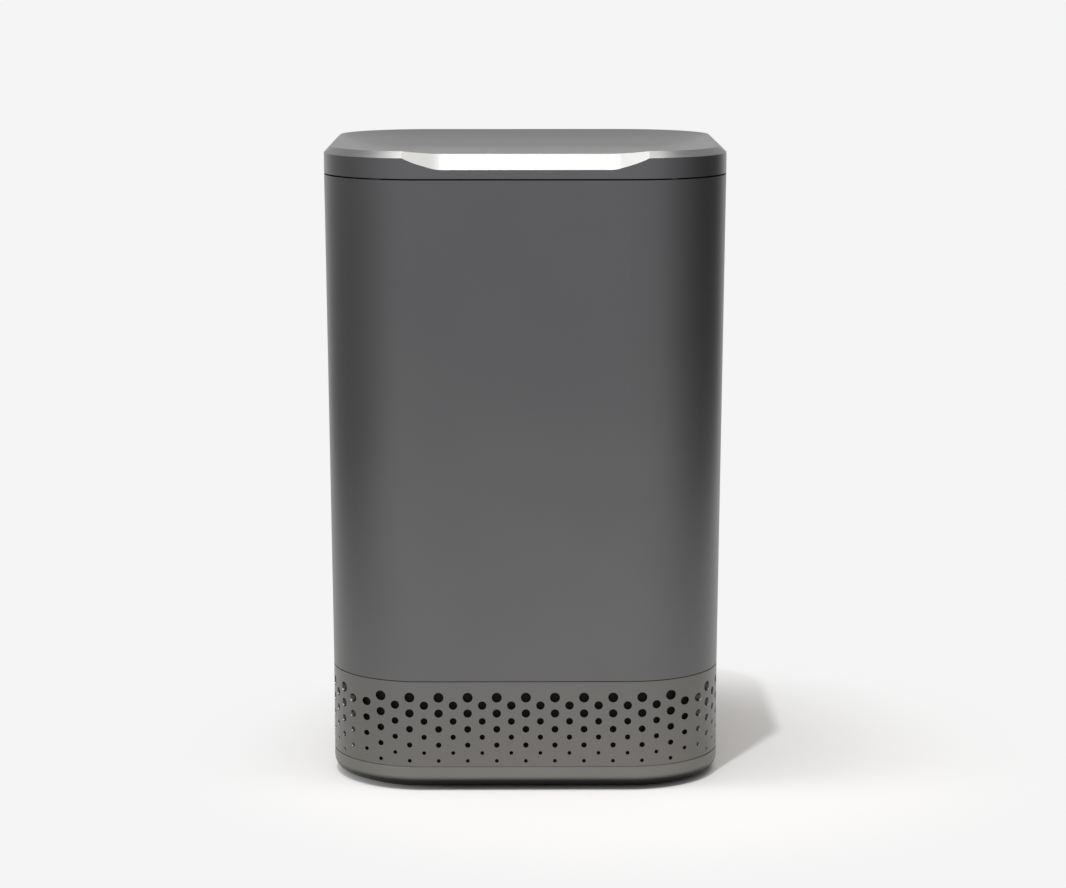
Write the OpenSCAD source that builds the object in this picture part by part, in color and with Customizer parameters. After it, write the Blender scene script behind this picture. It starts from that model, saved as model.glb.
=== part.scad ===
// Electric countertop food waste composter.
// A heated well in a slim metal body holds a lift-out bucket with a stirring arm.
// Below the well are the gearbox, a carbon filter drawer, a fan and the electronics.
// Millimetres. Z is up, the front faces -Y, and the origin is the middle of the footprint.

/* [Body] */
// Width of the body at the lid seam
body_w = 220; // [219:1:224]
// Depth of the body at the lid seam
body_d = 206; // [205:1:210]
// Corner radius of the body in plan at the lid seam
corner_r = 54; // [53:0.5:55]
// Height of the seam between the body and the lid
seam_z = 334.8; // [334:0.2:337]
// Height of the perforated band's upper edge
band_top = 61.2; // [60.8:0.2:61.6]
// Height of the plinth
plinth_h = 13.5; // [13:0.1:14]
// How far each side of the sleeve draws in from the lid seam to the band
draft = 2.7; // [2.4:0.1:3]
// Thickness of the metal skins
skin = 2.2; // [2:0.1:2.4]
// Radius of the plinth's undercut lower edge
undercut_r = 6.5; // [5:0.5:7]
// Standing height of the rubber foot ring below the base
foot_h = 1.8; // [1.4:0.2:2.2]

/* [Lid] */
// Height of the lid's upright side wall
lid_wall_h = 11.3; // [11:0.1:12]
// Size of the 45 degree chamfer on the lid's rim
chamfer = 3.5; // [3:0.1:4]
// Width of the curved border of the dished top
dish_w = 37; // [34:1:38]
// Angle at which the dished top leaves the rim
dish_angle = 22; // [18:1:22]
// Half width of the level part of the front scoop
scoop_half = 44.5; // [38:0.5:48]
// Depth of the front scoop below the chamfer
scoop_drop = 6.1; // [5:0.1:6.2]
// Slope of the scoop's end ramps
ramp_angle = 16.2; // [15:0.2:20]
// Radius of the start button
button_r = 8; // [7:0.5:8.5]

/* [Vent holes] */
// Distance between hole columns on the wide faces
vent_pitch = 7.95; // [7.7:0.05:8]
// Distance between hole rows
vent_row = 4.44; // [4.2:0.01:4.5]
// Diameter of the holes in the top row
vent_top_d = 5.5; // [5:0.1:5.6]
// How much smaller the holes get every second row
vent_step = 0.85; // [0.7:0.05:0.9]

/* [Bucket] */
// Distance from the heated well's inner wall to the front of the body
well_room = 11; // [10:0.5:12]
// How far the well is set forward of the middle
bucket_set = 12; // [11:0.5:13]
// Gap all round between the bucket and the well
bucket_gap = 3.5; // [3:0.5:5]
// How far the bucket's rim lies below the well's rim
rim_drop = 8; // [8:1:26]
// Distance across the flats of the drive dog
dog_flats = 12; // [10:0.5:12.5]

/* [Gearbox] */
// Teeth on the motor pinion
pinion_teeth = 18; // [18:1:19]
// Teeth on the large wheel of the compound gear
wheel_teeth = 54; // [52:1:54]
// Teeth on the small wheel of the compound gear
cluster_teeth = 18; // [18:1:19]
// Teeth on the drive gear
drive_teeth = 60; // [58:1:60]
// Tooth module of the first stage
fast_module = 1; // [0.9:0.05:1]
// Tooth module of the second stage
slow_module = 1.25; // [1.2:0.05:1.25]

/* [Filter drawer] */
// Width of the drawer's front plate
drawer_w = 76; // [72:1:76]
// Height of the drawer's front plate
drawer_h = 44; // [42:1:44]

/* [Hidden] */
$fn = 64;
tiny = 0.01;

// Plan of the body: the corner centres and the radii round them
centre_x = body_w / 2 - corner_r;
centre_y = body_d / 2 - corner_r;
band_r = corner_r - draft;
function skin_r(z) = corner_r - draft * (seam_z - z) / (seam_z - band_top);

// Gaps
seam_gap = 0.5;
lid_gap = 0.8;
slip = 0.3;
run = 0.05;
fit = 0.03;

// Heights of the lid
lid_bottom = seam_z + lid_gap / 2;
chamfer_z = seam_z + lid_wall_h;
rim_z = chamfer_z + chamfer;
rim_r = corner_r - chamfer;
dish_r = dish_w / sin(dish_angle);
dish_z = rim_z - dish_r * (1 - cos(dish_angle));
lid_wall = 2.6;
ceiling_z = seam_z + 4.6;
liner_z = seam_z + 1.4;
liner_r = corner_r - lid_wall - slip;
plug_gap = 4;
plug_z = liner_z - 7.7;

// Heights of the deck and the well
deck_top = seam_z - 4.3;
deck_z = deck_top - 3.5;
deck_rim_z = liner_z - 3;
deck_wall = 2;
well_wall = 1.6;
well_r = body_d / 2 - bucket_set - well_room;
plug_r = well_r - plug_gap;
well_floor_t = 2;
well_flange_r = well_r + 5;
well_top = deck_z - 1;
axis = [0, -bucket_set];
heater_r = well_r - 12;
heater_t = 5;
pad_t = 3.1;
pad_gap = 0.4;

// Hinge on the back of the body, at the height of the lid seam
hinge_r = 4.4;
hinge_y = body_d / 2 + 0.6;
hinge_z = seam_z + 0.25;
hinge_half = 40;
leaf_half = 25.5;
hinge_room = 0.45;
hinge_pin_r = 1.6;
bracket_t = 2.4;
plate_screw_y = body_d / 2 - 15;
plate_screws = [-33, -15, 15, 33];
leaf_screw_y = body_d / 2 - 17;
leaf_screw_x = 18;

// Screws: shank radius, head radius and head height
screw_r = 1.5;
head_r = 3;
head_h = 1.3;

// Base and chassis
base_t = 2.5;
lip_t = 1.6;
band_t = 2.4;
inner_r = band_r - band_t - slip;
lip_top = plinth_h + 4.5;
plate_z = band_top - 2.2;
vent_row_z = plate_z - 6.7;
vent_last = floor((body_w / 2 - 20) / vent_pitch);
vent_rows = floor((vent_row_z - plinth_h - 3) / vent_row);
plate_t = 4;
plate_top = plate_z + plate_t;
foot_r = band_r - 10.3;
foot_w = 8;
foot_seat = 1.2;
post_x = centre_x + foot_r - foot_w - 5;
base_posts = [for (x = [-1, 1], y = [-1, 1]) [x * post_x, y * (centre_y - 9)]];
rod_x = centre_x + 24;
rods = [for (x = [-rod_x, rod_x]) each [[x, centre_y + 23], [x, -centre_y - 27]]];
rod_r = 2.5;
rod_end = 6;
well_posts = [for (p = [[78, 0], [-78, 0], [45, -62], [-45, -62], [62, 48], [-66, 42]])
    axis + p * well_r / 80];
post_r = 5;

// Gear train: shaft positions in plan and tooth phases
fast_distance = fast_module * (pinion_teeth + wheel_teeth) / 2;
slow_distance = slow_module * (cluster_teeth + drive_teeth) / 2;
cluster_dir = 210;
motor_dir = 100;
function toward(start, angle, length) = start + length * [cos(angle), sin(angle)];
cluster_at = toward(axis, cluster_dir, slow_distance);
motor_at = toward(cluster_at, motor_dir, fast_distance);
pressure = 20;
backlash = 0.09;
tip_cut = 0.1;
motor_h = 38;
box_z = plate_top + motor_h + 1;
box_t = 3;
box_wall = 3;
slow_z = box_z + box_t + 1;
slow_t = 7;
fast_z = slow_z + slow_t + 1.2;
fast_t = 5;
box_split = slow_z + slow_t;
box_top = fast_z + fast_t + 1.3 + box_t;
well_floor = box_top + pad_gap + pad_t + heater_t;
tooth_room = 0.75;
drive_room = slow_module * (drive_teeth / 2 + 1) + tooth_room;
cluster_room = fast_module * (wheel_teeth / 2 + 1) + tooth_room;
pinion_room = fast_module * (pinion_teeth / 2 + 1) + tooth_room;
cable_x = drive_room + 7.5;
box_bosses = [
    toward(axis, 60, drive_room + 4.5), toward(axis, 0, drive_room + 4.5),
    toward(axis, 300, drive_room + 4.5), toward(cluster_at, 200, cluster_room + 4.5),
    toward(cluster_at, 290, cluster_room + 4.5)
];
boss_r = 4.2;
shaft_r = 6;
journal_r = 5;
axle_r = 3;
motor_r = 21;
motor_shaft_r = 2;
motor_flange_r = 24;
motor_bolts = [for (a = [60, 150]) toward(motor_at, a, 20.5)];

// Bucket and agitator
bucket_r = well_r - bucket_gap;
bucket_top = well_top - rim_drop;
bucket_wall = 1.8;
bucket_floor = well_floor + 5.5;
bucket_floor_t = 2.5;
hub_boss_r = 17;
hub_boss_top = bucket_floor + 22.5;
bush_r = 13;
stem_r = 10;
dog_z = well_floor + 3.5;
dog_top = dog_z + 10.5;
socket_top = dog_top + 2.5;
hub_r = 21;
hub_z = bucket_floor + 5.5;
hub_top = hub_boss_top + 6;
cone_r = 14;
cone_h = 23;
knob_r = 8;
arm_reach = bucket_r - 6.5;
high_arm_reach = bucket_r - 18.5;
breaker_z = hub_z + 14;
breaker_h = 9;

// Filter drawer, bay and the fan below it
drawer_x = -16;
drawer_z = plate_top + 5;
drawer_top = drawer_z + drawer_h;
face_y = body_d / 2 - 5.4;
seal_t = 1.5;
bay_y = axis[1] + drive_room + box_wall + 3.5;
bay_t = 2.4;
tray_t = 2;
tray_w = drawer_w - 6;
tray_y = bay_y + 4;
canister_x = (tray_w - 2 * tray_t) / 4;
canister_r = canister_x - 0.5;
canister_y = (tray_y + tray_t + face_y - 9) / 2 + 1.7;
bay_port_r = (face_y - seal_t - bay_y) / 2 - 5.05;
fan_w = 80;
fan_at = [drawer_x, body_d / 2 - fan_w / 2 - 11];
fan_t = 25;
fan_z = plate_z - 1 - fan_t;
fan_r = fan_w / 2 - 3;
fan_hub_r = 16;
fan_bolts = [for (x = [-1, 1], y = [-1, 1]) fan_at + [x, y] * (fan_w / 2 - 4)];
duct_back = body_d / 2 - 11;
duct_front = duct_back - 18;
duct_top = well_top - 18;
duct_mouth_w = 24;

// Power module beside the drawer
module_w = 26;
module_x = drawer_x + drawer_w / 2 + module_w / 2 + 6;
socket_z = drawer_z + 13;
rocker_z = drawer_z + 33.5;
rocker_y = body_d / 2 - 5.5;
rocker_w = 17;
rocker_h = 12;
pivot_r = 1.5;
inlet_depth = 22;
inlet_spots = [[-6, -2], [6, -2], [0, 3]];

// Boards on the floor of the base
board_y = -body_d / 2 + 19;
board_room = 37;
board_t = 1.6;
board_gap = 4;
board_z = foot_h + base_t + board_gap;

// Button and closing magnets on the lid, and the screws of its liner
button_y = -48;
ring_r = button_r + 2.6;
magnet_r = 4;
magnet_spots = [for (x = [-1, 1]) [x * (centre_x + 6), -body_d / 2 + 17]];
sensor_x = 40;
sensor_y = -body_d / 2 + 6;
liner_side_x = body_w / 2 - 15;
liner_front_x = 45;
liner_spots = [for (side = [-1, 1]) each [[side * liner_side_x, centre_y - 14],
    [side * liner_side_x, 14 - centre_y], [side * liner_front_x, -body_d / 2 + 15]]];

// A profile carried round the plan: its x runs outward from the corner centres
module round_plan() {
    for (c = [[1, 1, 0], [-1, 1, 90], [-1, -1, 180], [1, -1, 270]])
        translate([c[0] * centre_x, c[1] * centre_y, 0])
            rotate([0, 0, c[2]]) rotate_extrude(angle = 90) children();
    for (turn = [0, 180])
        rotate([0, 0, turn]) translate([centre_x, 0, 0])
            rotate([90, 0, 0]) linear_extrude(2 * centre_y, center = true) children();
    for (turn = [90, 270])
        rotate([0, 0, turn]) translate([centre_y, 0, 0])
            rotate([90, 0, 0]) linear_extrude(2 * centre_x, center = true) children();
}

// A solid plan: the profile starts at x = 0 and the core is filled from z0 to z1
module full_plan(z0, z1) {
    round_plan() children();
    translate([-centre_x, -centre_y, z0]) cube([2 * centre_x, 2 * centre_y, z1 - z0]);
}

module plan_plate(r, z0, z1) {
    full_plan(z0, z1) translate([0, z0]) square([r, z1 - z0]);
}

module plan_band(r, t, z0, z1) {
    round_plan() translate([r - t, z0]) square([t, z1 - z0]);
}

module at(place, z = 0) {
    translate([place[0], place[1], z]) children();
}

module tube(outer, inner, h) {
    difference() {
        cylinder(r = outer, h = h);
        translate([0, 0, -1]) cylinder(r = inner, h = h + 2);
    }
}

// A box given by its middle in x, and its y and z limits
module block(x, w, y0, y1, z0, z1) {
    translate([x - w / 2, y0, z0]) cube([w, y1 - y0, z1 - z0]);
}

module pan_screw(length, radius = screw_r) {
    // The head stands above z = 0 and the shank hangs below it
    cylinder(r = head_r, h = head_h);
    translate([0, 0, -length]) cylinder(r = radius, h = length + tiny);
}

// The rear opening of the sleeve for a plate that fits it with the given gap
module rear_window(x, w, gap) {
    block(x, w + 2 * gap, face_y - 8, body_d / 2 + 5, drawer_z - gap, drawer_top + gap);
}

// The drafted outer solid of the sleeve, for plates that lie flush with it
module sleeve_solid(z0, z1) {
    full_plan(z0, z1) polygon([[0, z0], [skin_r(z0), z0], [skin_r(z1), z1], [0, z1]]);
}

/* Body shells */
module outer_sleeve() {
    z0 = band_top + seam_gap / 2;
    z1 = seam_z - lid_gap / 2;
    color("#5f5f64") difference() {
        round_plan() polygon([
            [skin_r(z0) - skin, z0], [skin_r(z0), z0], [skin_r(z1), z1], [skin_r(z1) - skin, z1]
        ]);
        rear_window(drawer_x, drawer_w, 0.4);
        rear_window(module_x, module_w, 0.2);
        block(0, 2 * (hinge_half + 1), hinge_y - hinge_r - 0.4, hinge_y + 9,
            hinge_z - hinge_r - hinge_room, seam_z + 1);
    }
}

// The holes of one face, all drilled straight in, also where the wall turns the corner
module vent_face(pitch, depth) {
    for (k = [-vent_last:vent_last], n = [0:vent_rows])
        if (abs(k) % 2 == n % 2)
            translate([k * pitch, -depth / 2 - 1, vent_row_z - n * vent_row]) rotate([-90, 0, 0])
                cylinder(d = vent_top_d - vent_step * ceil(n / 2), h = corner_r / 2, $fn = 24);
}

module vent_ring() {
    color("#6d6d6b") difference() {
        plan_band(band_r, band_t, plinth_h + seam_gap / 2, band_top - seam_gap / 2);
        for (turn = [0, 180]) rotate([0, 0, turn]) vent_face(vent_pitch, body_d);
        for (turn = [90, 270]) rotate([0, 0, turn])
            vent_face(vent_pitch * body_d / body_w, body_w);
    }
}

module dust_screen() {
    color("#141414")
        plan_band(inner_r + 0.1, 1.8, lip_top + slip, plate_z - slip);
}

module base_plate() {
    wall_z = plinth_h - seam_gap / 2;
    edge_z = foot_h + undercut_r;
    edge = [for (a = [0:15:90])
        [band_r - undercut_r * (1 - cos(a)), edge_z - undercut_r * sin(a)]];
    color("#7a7a76") difference() {
        union() {
            full_plan(foot_h, wall_z)
                polygon(concat([[0, wall_z], [band_r, wall_z]], edge, [[0, foot_h]]));
            plan_plate(band_r - 0.5, wall_z - tiny, wall_z + seam_gap);
            plan_plate(inner_r, wall_z, lip_top);
        }
        difference() {
            plan_plate(inner_r - lip_t, foot_h + base_t, lip_top + 1);
            for (p = base_posts) at(p, foot_h) cylinder(r = post_r, h = lip_top - 1 - foot_h);
        }
        plan_band(foot_r + fit, foot_w + 2 * fit, -1, foot_h + foot_seat);
        for (p = base_posts) at(p, -1) {
            cylinder(r = head_r + slip, h = foot_h + head_h + 1.5);
            cylinder(r = screw_r + fit, h = lip_top + 2);
        }
    }
}

module foot_ring() {
    color("#1c1c1c") plan_band(foot_r, foot_w, 0, foot_h + foot_seat);
}

module base_screws() {
    color("#b8bbbe") for (p = base_posts)
        at(p, foot_h + head_h + 0.5) mirror([0, 0, 1]) pan_screw(20);
}

/* Chassis */
module chassis_frame() {
    color("#26272a") difference() {
        union() {
            plan_plate(inner_r, plate_z, plate_top);
            plan_band(band_r - 0.5, 4, band_top - seam_gap / 2, band_top + seam_gap / 2);
            for (p = well_posts) at(p, plate_z) cylinder(r = post_r, h = well_floor - plate_z);
            for (p = box_bosses) at(p, plate_z) cylinder(r = boss_r, h = box_z - plate_z);
            for (p = base_posts) at(p, lip_top - 1) cylinder(r = post_r, h = plate_z - lip_top + 2);
        }
        at(fan_at, plate_z - 1) cylinder(r = fan_r, h = plate_t + 2);
        for (p = rods) at(p, plate_z - 1) cylinder(r = rod_r + fit, h = plate_t + 2);
        for (p = box_bosses) at(p, box_z - 14) cylinder(r = screw_r + fit, h = 15);
        for (p = base_posts) at(p, lip_top - 2) cylinder(r = screw_r + fit, h = 12);
        for (p = fan_bolts) at(p, plate_z - 1) cylinder(r = screw_r + fit, h = plate_t - 0.5);
        translate([cable_x, -40, plate_z - 1]) cube([well_r - 3 - cable_x, 60, plate_t + 2]);
        block(0, 34, -centre_y - 21, -centre_y - 3, plate_z - 1, plate_top + 1);
    }
}

module tie_rods() {
    color("#9fa3a6") for (p = rods)
        at(p, plate_z - rod_end) cylinder(r = rod_r, h = deck_top + 4 - plate_z + rod_end);
}

module tie_nuts() {
    color("#b8bbbe") for (p = rods, z = [plate_z - 4, deck_top])
        at(p, z) difference() {
            cylinder(r = 4.6, h = z < plate_z ? 4 : 3, $fn = 6);
            translate([0, 0, -1]) cylinder(r = rod_r + fit, h = 6);
        }
}

/* Deck and well */
module top_deck() {
    deck_r = corner_r - skin - slip - 0.1;
    color("#1f2022") difference() {
        union() {
            plan_plate(deck_r, deck_z, deck_top);
            plan_band(deck_r, deck_wall, deck_z - 11, deck_z);
            at(axis, deck_z) cylinder(r = well_r + 3, h = deck_rim_z - deck_z, $fn = 128);
        }
        at(axis, deck_z - 1) cylinder(r = well_r, h = 20, $fn = 128);
        for (p = rods) at(p, deck_z - 1) cylinder(r = rod_r + fit, h = 6);
        block(0, 2 * leaf_half + 1, hinge_y - hinge_r - 1.6, hinge_y, deck_top - 0.6, deck_top + 1);
        for (x = plate_screws)
            translate([x, plate_screw_y, deck_z - 1]) cylinder(r = screw_r + fit, h = 6);
        for (p = magnet_spots) at(p, deck_top - 2) cylinder(r = magnet_r + fit, h = 3);
    }
}

module bucket_well() {
    color("#a9abad") difference() {
        at(axis) rotate_extrude($fn = 128) polygon([
            [11, well_floor], [well_r + well_wall, well_floor],
            [well_r + well_wall, well_top - 2], [well_flange_r, well_top - 2],
            [well_flange_r, well_top], [well_r, well_top],
            [well_r, well_floor + well_floor_t], [11, well_floor + well_floor_t]
        ]);
        block(drawer_x, duct_mouth_w, duct_front - 24, duct_back, duct_top - 16, duct_top - 4);
    }
}

module well_seal() {
    color("#7e1f1b") at(axis, well_top) tube(well_flange_r, well_r + 0.4, 1, $fn = 128);
}

module heater_ring() {
    color("#8d9093") at(axis, well_floor - heater_t) {
        tube(heater_r, 30, 2, $fn = 96);
        for (r = [38:11:heater_r - 8])
            translate([0, 0, 2 - tiny]) tube(r + 2.4, r - 2.4, 3 + tiny, $fn = 96);
    }
}

module insulation_pad() {
    color("#e6e2d6") at(axis, box_top + pad_gap) tube(heater_r + 2, 26, pad_t, $fn = 96);
}

// A clip-on overheat cut-out on the well's right wall
module thermostat() {
    color("#c9c6bd") at(axis, well_floor + 36) rotate([0, 0, -10]) difference() {
        union() {
            translate([well_r, 0, 0]) rotate([0, 90, 0]) cylinder(r = 8, h = 9);
            translate([well_r, -14, -3]) cube([3.4, 28, 6]);
            for (y = [-4, 4]) translate([well_r + 8, y - 1.5, -0.4]) cube([7, 3, 0.8]);
        }
        translate([0, 0, -20]) cylinder(r = well_r + well_wall + fit, h = 40, $fn = 128);
    }
}

module shaft_seal() {
    color("#2a1512") at(axis) {
        translate([0, 0, well_floor - 1]) tube(11 - fit, shaft_r + run, 3.4);
        translate([0, 0, well_floor - 2]) tube(13, shaft_r + run, 2 - tiny);
    }
}

/* Gearbox */
module box_outline(grow) {
    at(axis) circle(r = drive_room + grow);
    at(cluster_at) circle(r = cluster_room + grow);
    at(motor_at) circle(r = pinion_room + grow);
}

module gearbox_base() {
    color("#33363a") difference() {
        union() {
            translate([0, 0, box_z]) linear_extrude(box_split - box_z) box_outline(box_wall);
            for (p = box_bosses) at(p, box_z) cylinder(r = boss_r, h = box_split - box_z);
            at(motor_at, box_z) cylinder(r = motor_flange_r, h = box_t);
        }
        translate([0, 0, box_z + box_t]) linear_extrude(box_split) box_outline(0);
        at(axis, box_z + 0.2) cylinder(r = 9 + fit, h = 10);
        at(cluster_at, box_z - 1) cylinder(r = axle_r + fit, h = 10);
        at(motor_at, box_z - 1) cylinder(r = 6 + fit, h = 10);
        for (p = box_bosses) at(p, box_z - 1) cylinder(r = screw_r + fit, h = 20);
        for (p = motor_bolts) at(p, box_z - 1) cylinder(r = screw_r + fit, h = 10);
    }
}

module gearbox_cover() {
    color("#3a3d41") difference() {
        union() {
            translate([0, 0, box_split]) linear_extrude(box_top - box_split) box_outline(box_wall);
            for (p = box_bosses) at(p, box_split) cylinder(r = boss_r, h = box_top - box_split);
            at(axis, box_top - 1) cylinder(r = 16, h = 3.5);
        }
        translate([0, 0, box_split - 1]) linear_extrude(box_top - box_t - box_split + 1) box_outline(0);
        at(axis, box_split) cylinder(r = 12 + fit, h = 20);
        at(cluster_at, box_split) cylinder(r = axle_r + fit, h = box_top - box_split - 1);
        for (p = box_bosses) at(p, box_split - 1) {
            cylinder(r = screw_r + fit, h = 20);
            translate([0, 0, box_top - box_split + 1 - head_h - 1]) cylinder(r = head_r + 0.1, h = 9);
        }
    }
}

module gearbox_screws() {
    color("#b8bbbe") {
        for (p = box_bosses) at(p, box_top - head_h - 1) pan_screw(box_top - box_z + 8);
        for (p = motor_bolts) at(p, box_z + box_t) pan_screw(box_t + 2.5);
    }
}

module shaft_bearings() {
    color("#c7a24b") {
        at(axis, box_z + 0.2) tube(9, journal_r + run, box_t - 0.2);
        at(axis, box_top - box_t) tube(12, shaft_r + run, box_t + 2.5);
    }
}

module compound_axle() {
    color("#c2c5c8") at(cluster_at, box_z) cylinder(r = axle_r, h = box_top - box_z - 1.2);
}

// Involute spur wheel with a tooth centred on the x axis
function involute(base, t) = base * [cos(t) + t * PI / 180 * sin(t), sin(t) - t * PI / 180 * cos(t)];
function roll(base, r) = sqrt(max(0, pow(r / base, 2) - 1)) * 180 / PI;
function turned(p, a) = [p[0] * cos(a) - p[1] * sin(a), p[0] * sin(a) + p[1] * cos(a)];
module spur(teeth, m, h) {
    pitch = m * teeth / 2;
    base = pitch * cos(pressure);
    tip = pitch + m - tip_cut;
    root = pitch - 1.25 * m;
    slim = backlash / pitch * 180 / PI;
    pitch_roll = roll(base, pitch);
    half = 90 / teeth - slim + pitch_roll - pressure;
    steps = [for (i = [0:4]) max(base, root) + (tip - max(base, root)) * i / 4];
    flank = [for (r = steps) turned(involute(base, roll(base, r)), -half)];
    foot = turned([root, 0], -half);
    tooth = concat([foot], flank, [for (i = [4:-1:0]) [flank[i][0], -flank[i][1]]],
        [[foot[0], -foot[1]]]);
    linear_extrude(h) polygon([for (i = [0:teeth - 1], p = tooth) turned(p, i * 360 / teeth)]);
}

module drive_motor() {
    top = box_z;
    color("#3c3f43") difference() {
        at(motor_at) union() {
            translate([0, 0, top - motor_h]) cylinder(r = motor_r, h = motor_h - 12);
            translate([0, 0, top - 12 - tiny]) cylinder(r = 18, h = 12);
            translate([0, 0, top - 3]) cylinder(r = motor_flange_r, h = 3);
            translate([0, 0, top - tiny]) tube(6, 3, 2);
        }
        at(motor_at, top - 14) cylinder(r = motor_shaft_r + run, h = 20);
        for (p = motor_bolts) at(p, top - 8) cylinder(r = screw_r + fit, h = 10);
        for (a = [0:30:330]) at(motor_at) rotate([0, 0, a])
            translate([motor_r - 1, -1.5, top - motor_h + 5]) cube([3, 3, 16]);
    }
}

module motor_pinion() {
    color("#d8c68a") at(motor_at) {
        translate([0, 0, fast_z - 0.6]) rotate([0, 0, motor_dir + 180 + 180 / pinion_teeth])
            spur(pinion_teeth, fast_module, fast_t + 1.2);
        translate([0, 0, box_z - 13]) cylinder(r = motor_shaft_r, h = fast_z + fast_t + 1 - box_z + 13);
    }
}

module compound_gear() {
    color("#ece7d8") at(cluster_at) difference() {
        union() {
            translate([0, 0, fast_z]) rotate([0, 0, motor_dir])
                spur(wheel_teeth, fast_module, fast_t);
            translate([0, 0, slow_z - 0.5]) rotate([0, 0, cluster_dir + 180 + 180 / cluster_teeth])
                spur(cluster_teeth, slow_module, fast_z - slow_z + 1.5);
        }
        translate([0, 0, slow_z - 1]) cylinder(r = axle_r + run, h = 20);
    }
}

module drive_gear() {
    color("#ece7d8") at(axis, slow_z) rotate([0, 0, cluster_dir]) difference() {
        union() {
            spur(drive_teeth, slow_module, slow_t);
            cylinder(r = 12, h = slow_t + 3);
        }
        translate([0, 0, -1]) cylinder(r = shaft_r + fit, h = slow_t + 5);
        for (a = [0:60:300]) rotate([0, 0, a]) translate([23, 0, -1]) cylinder(r = 7, h = slow_t + 2);
        translate([shaft_r - 2, -1.5, -1]) cube([4, 3, slow_t + 5]);
    }
}

module drive_shaft() {
    color("#c2c5c8") at(axis) {
        translate([0, 0, box_z + 0.5]) cylinder(r = journal_r, h = slow_z - box_z);
        translate([0, 0, slow_z]) cylinder(r = shaft_r, h = dog_z - slow_z);
        translate([0, 0, dog_z - tiny]) cylinder(r = 3.5, h = 5.5);
        rotate([0, 0, cluster_dir]) translate([shaft_r - 2, -1.4, slow_z]) cube([3.9, 2.8, slow_t + 3]);
    }
}

module drive_dog() {
    across = dog_flats / cos(30);
    color("#b9bcbf") at(axis) difference() {
        union() {
            translate([0, 0, dog_z]) cylinder(d = across, h = dog_top - dog_z - 1.5, $fn = 6);
            translate([0, 0, dog_top - 1.5 - tiny]) cylinder(d1 = dog_flats, d2 = dog_flats - 3, h = 1.5);
        }
        translate([0, 0, dog_z - 1]) cylinder(r = 3.5 + fit, h = 6.7);
    }
}

/* Exhaust fan */
module fan_frame() {
    color("#202124") difference() {
        at(fan_at, fan_z) union() {
            difference() {
                translate([-fan_w / 2, -fan_w / 2, 0]) cube([fan_w, fan_w, fan_t]);
                translate([0, 0, -1]) cylinder(r = fan_r + 1, h = fan_t + 2);
                for (turn = [0:90:270]) rotate([0, 0, turn])
                    translate([fan_w / 2 - 11, fan_w / 2 - 11, 4]) cube([20, 20, fan_t - 8]);
            }
            cylinder(r = fan_hub_r, h = 4);
            for (turn = [30:120:270]) rotate([0, 0, turn])
                translate([14, -2, 0]) cube([fan_r - 12, 4, 3]);
            translate([0, 0, 3]) tube(5, 2.5, 12);
        }
        for (p = fan_bolts) at(p, fan_z - 1) cylinder(r = screw_r + fit, h = fan_t + 2);
        at(fan_at, fan_z + 2) cylinder(r = 1.5 + run, h = 20);
    }
}

module fan_screws() {
    color("#b8bbbe") for (p = fan_bolts)
        at(p, fan_z + fan_t - 4) mirror([0, 0, 1]) pan_screw(7);
}

module fan_impeller() {
    blade_z = 5.5;
    color("#2b2d31") at(fan_at, fan_z) {
        difference() {
            translate([0, 0, blade_z - 0.7]) cylinder(r = fan_hub_r, h = 18);
            translate([0, 0, blade_z - 2]) cylinder(r = fan_hub_r - 2.5, h = 17);
        }
        translate([0, 0, 3]) cylinder(r = 1.5, h = 18);
        for (i = [0:6]) rotate([0, 0, i * 360 / 7]) intersection() {
            translate([10, 0, blade_z + 8]) rotate([40, 0, 0]) translate([0, -1, -12]) cube([30, 2, 24]);
            translate([0, 0, blade_z]) tube(fan_r - 0.6, fan_hub_r - 0.5, 16);
        }
    }
}

/* Air path and filter drawer */
module air_duct() {
    wall = 1.6;
    w = duct_mouth_w + 4;
    color("#2a2c2f") difference() {
        union() {
            block(drawer_x, w, duct_front, duct_back, drawer_top + 0.5, duct_top);
            block(drawer_x, w, duct_front - 19, duct_front + 1, duct_top - 20, duct_top);
        }
        block(drawer_x, w - 2 * wall, duct_front + wall, duct_back - wall, drawer_top, duct_top - wall);
        block(drawer_x, w - 2 * wall, duct_front - 24, duct_front + wall + 1,
            duct_top - 20 + wall, duct_top - wall);
        at(axis, duct_top - 28) cylinder(r = well_r + well_wall + fit, h = 40, $fn = 128);
    }
}

module filter_bay() {
    rear = face_y - seal_t;
    color("#303236") difference() {
        block(drawer_x, drawer_w, bay_y, rear, plate_top, drawer_top + 0.5);
        block(drawer_x, tray_w + 1.2, bay_y + bay_t, rear + 1, drawer_z + 1.5, drawer_top - 1.5);
        block(drawer_x, duct_mouth_w, duct_front + 3, duct_back - 2, drawer_top - 3, drawer_top + 2);
        at([drawer_x, canister_y - 2], plate_top - 1) cylinder(r = bay_port_r, h = 12);
    }
}

module filter_drawer() {
    pull_z = drawer_top - 9;
    color("#5f5f64") difference() {
        union() {
            intersection() {
                sleeve_solid(drawer_z - 3, drawer_top + 3);
                block(drawer_x, drawer_w, face_y, body_d, drawer_z, drawer_top);
            }
            block(drawer_x, tray_w, tray_y, face_y + 1, drawer_z + 2, drawer_top - 2);
        }
        block(drawer_x, tray_w - 2 * tray_t, tray_y + tray_t, face_y - 9, drawer_z + 4, drawer_top + 1);
        for (x = [-canister_x, canister_x], a = [0:60:300])
            translate([drawer_x + x, canister_y, drawer_z])
                rotate([0, 0, a]) translate([9, 0, 0]) cylinder(r = 3, h = 9);
        block(drawer_x, 34, face_y - 7, body_d, pull_z - 6, pull_z + 4);
        block(drawer_x, 34, face_y - 7, face_y + 1, pull_z + 3, pull_z + 6);
    }
}

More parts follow.
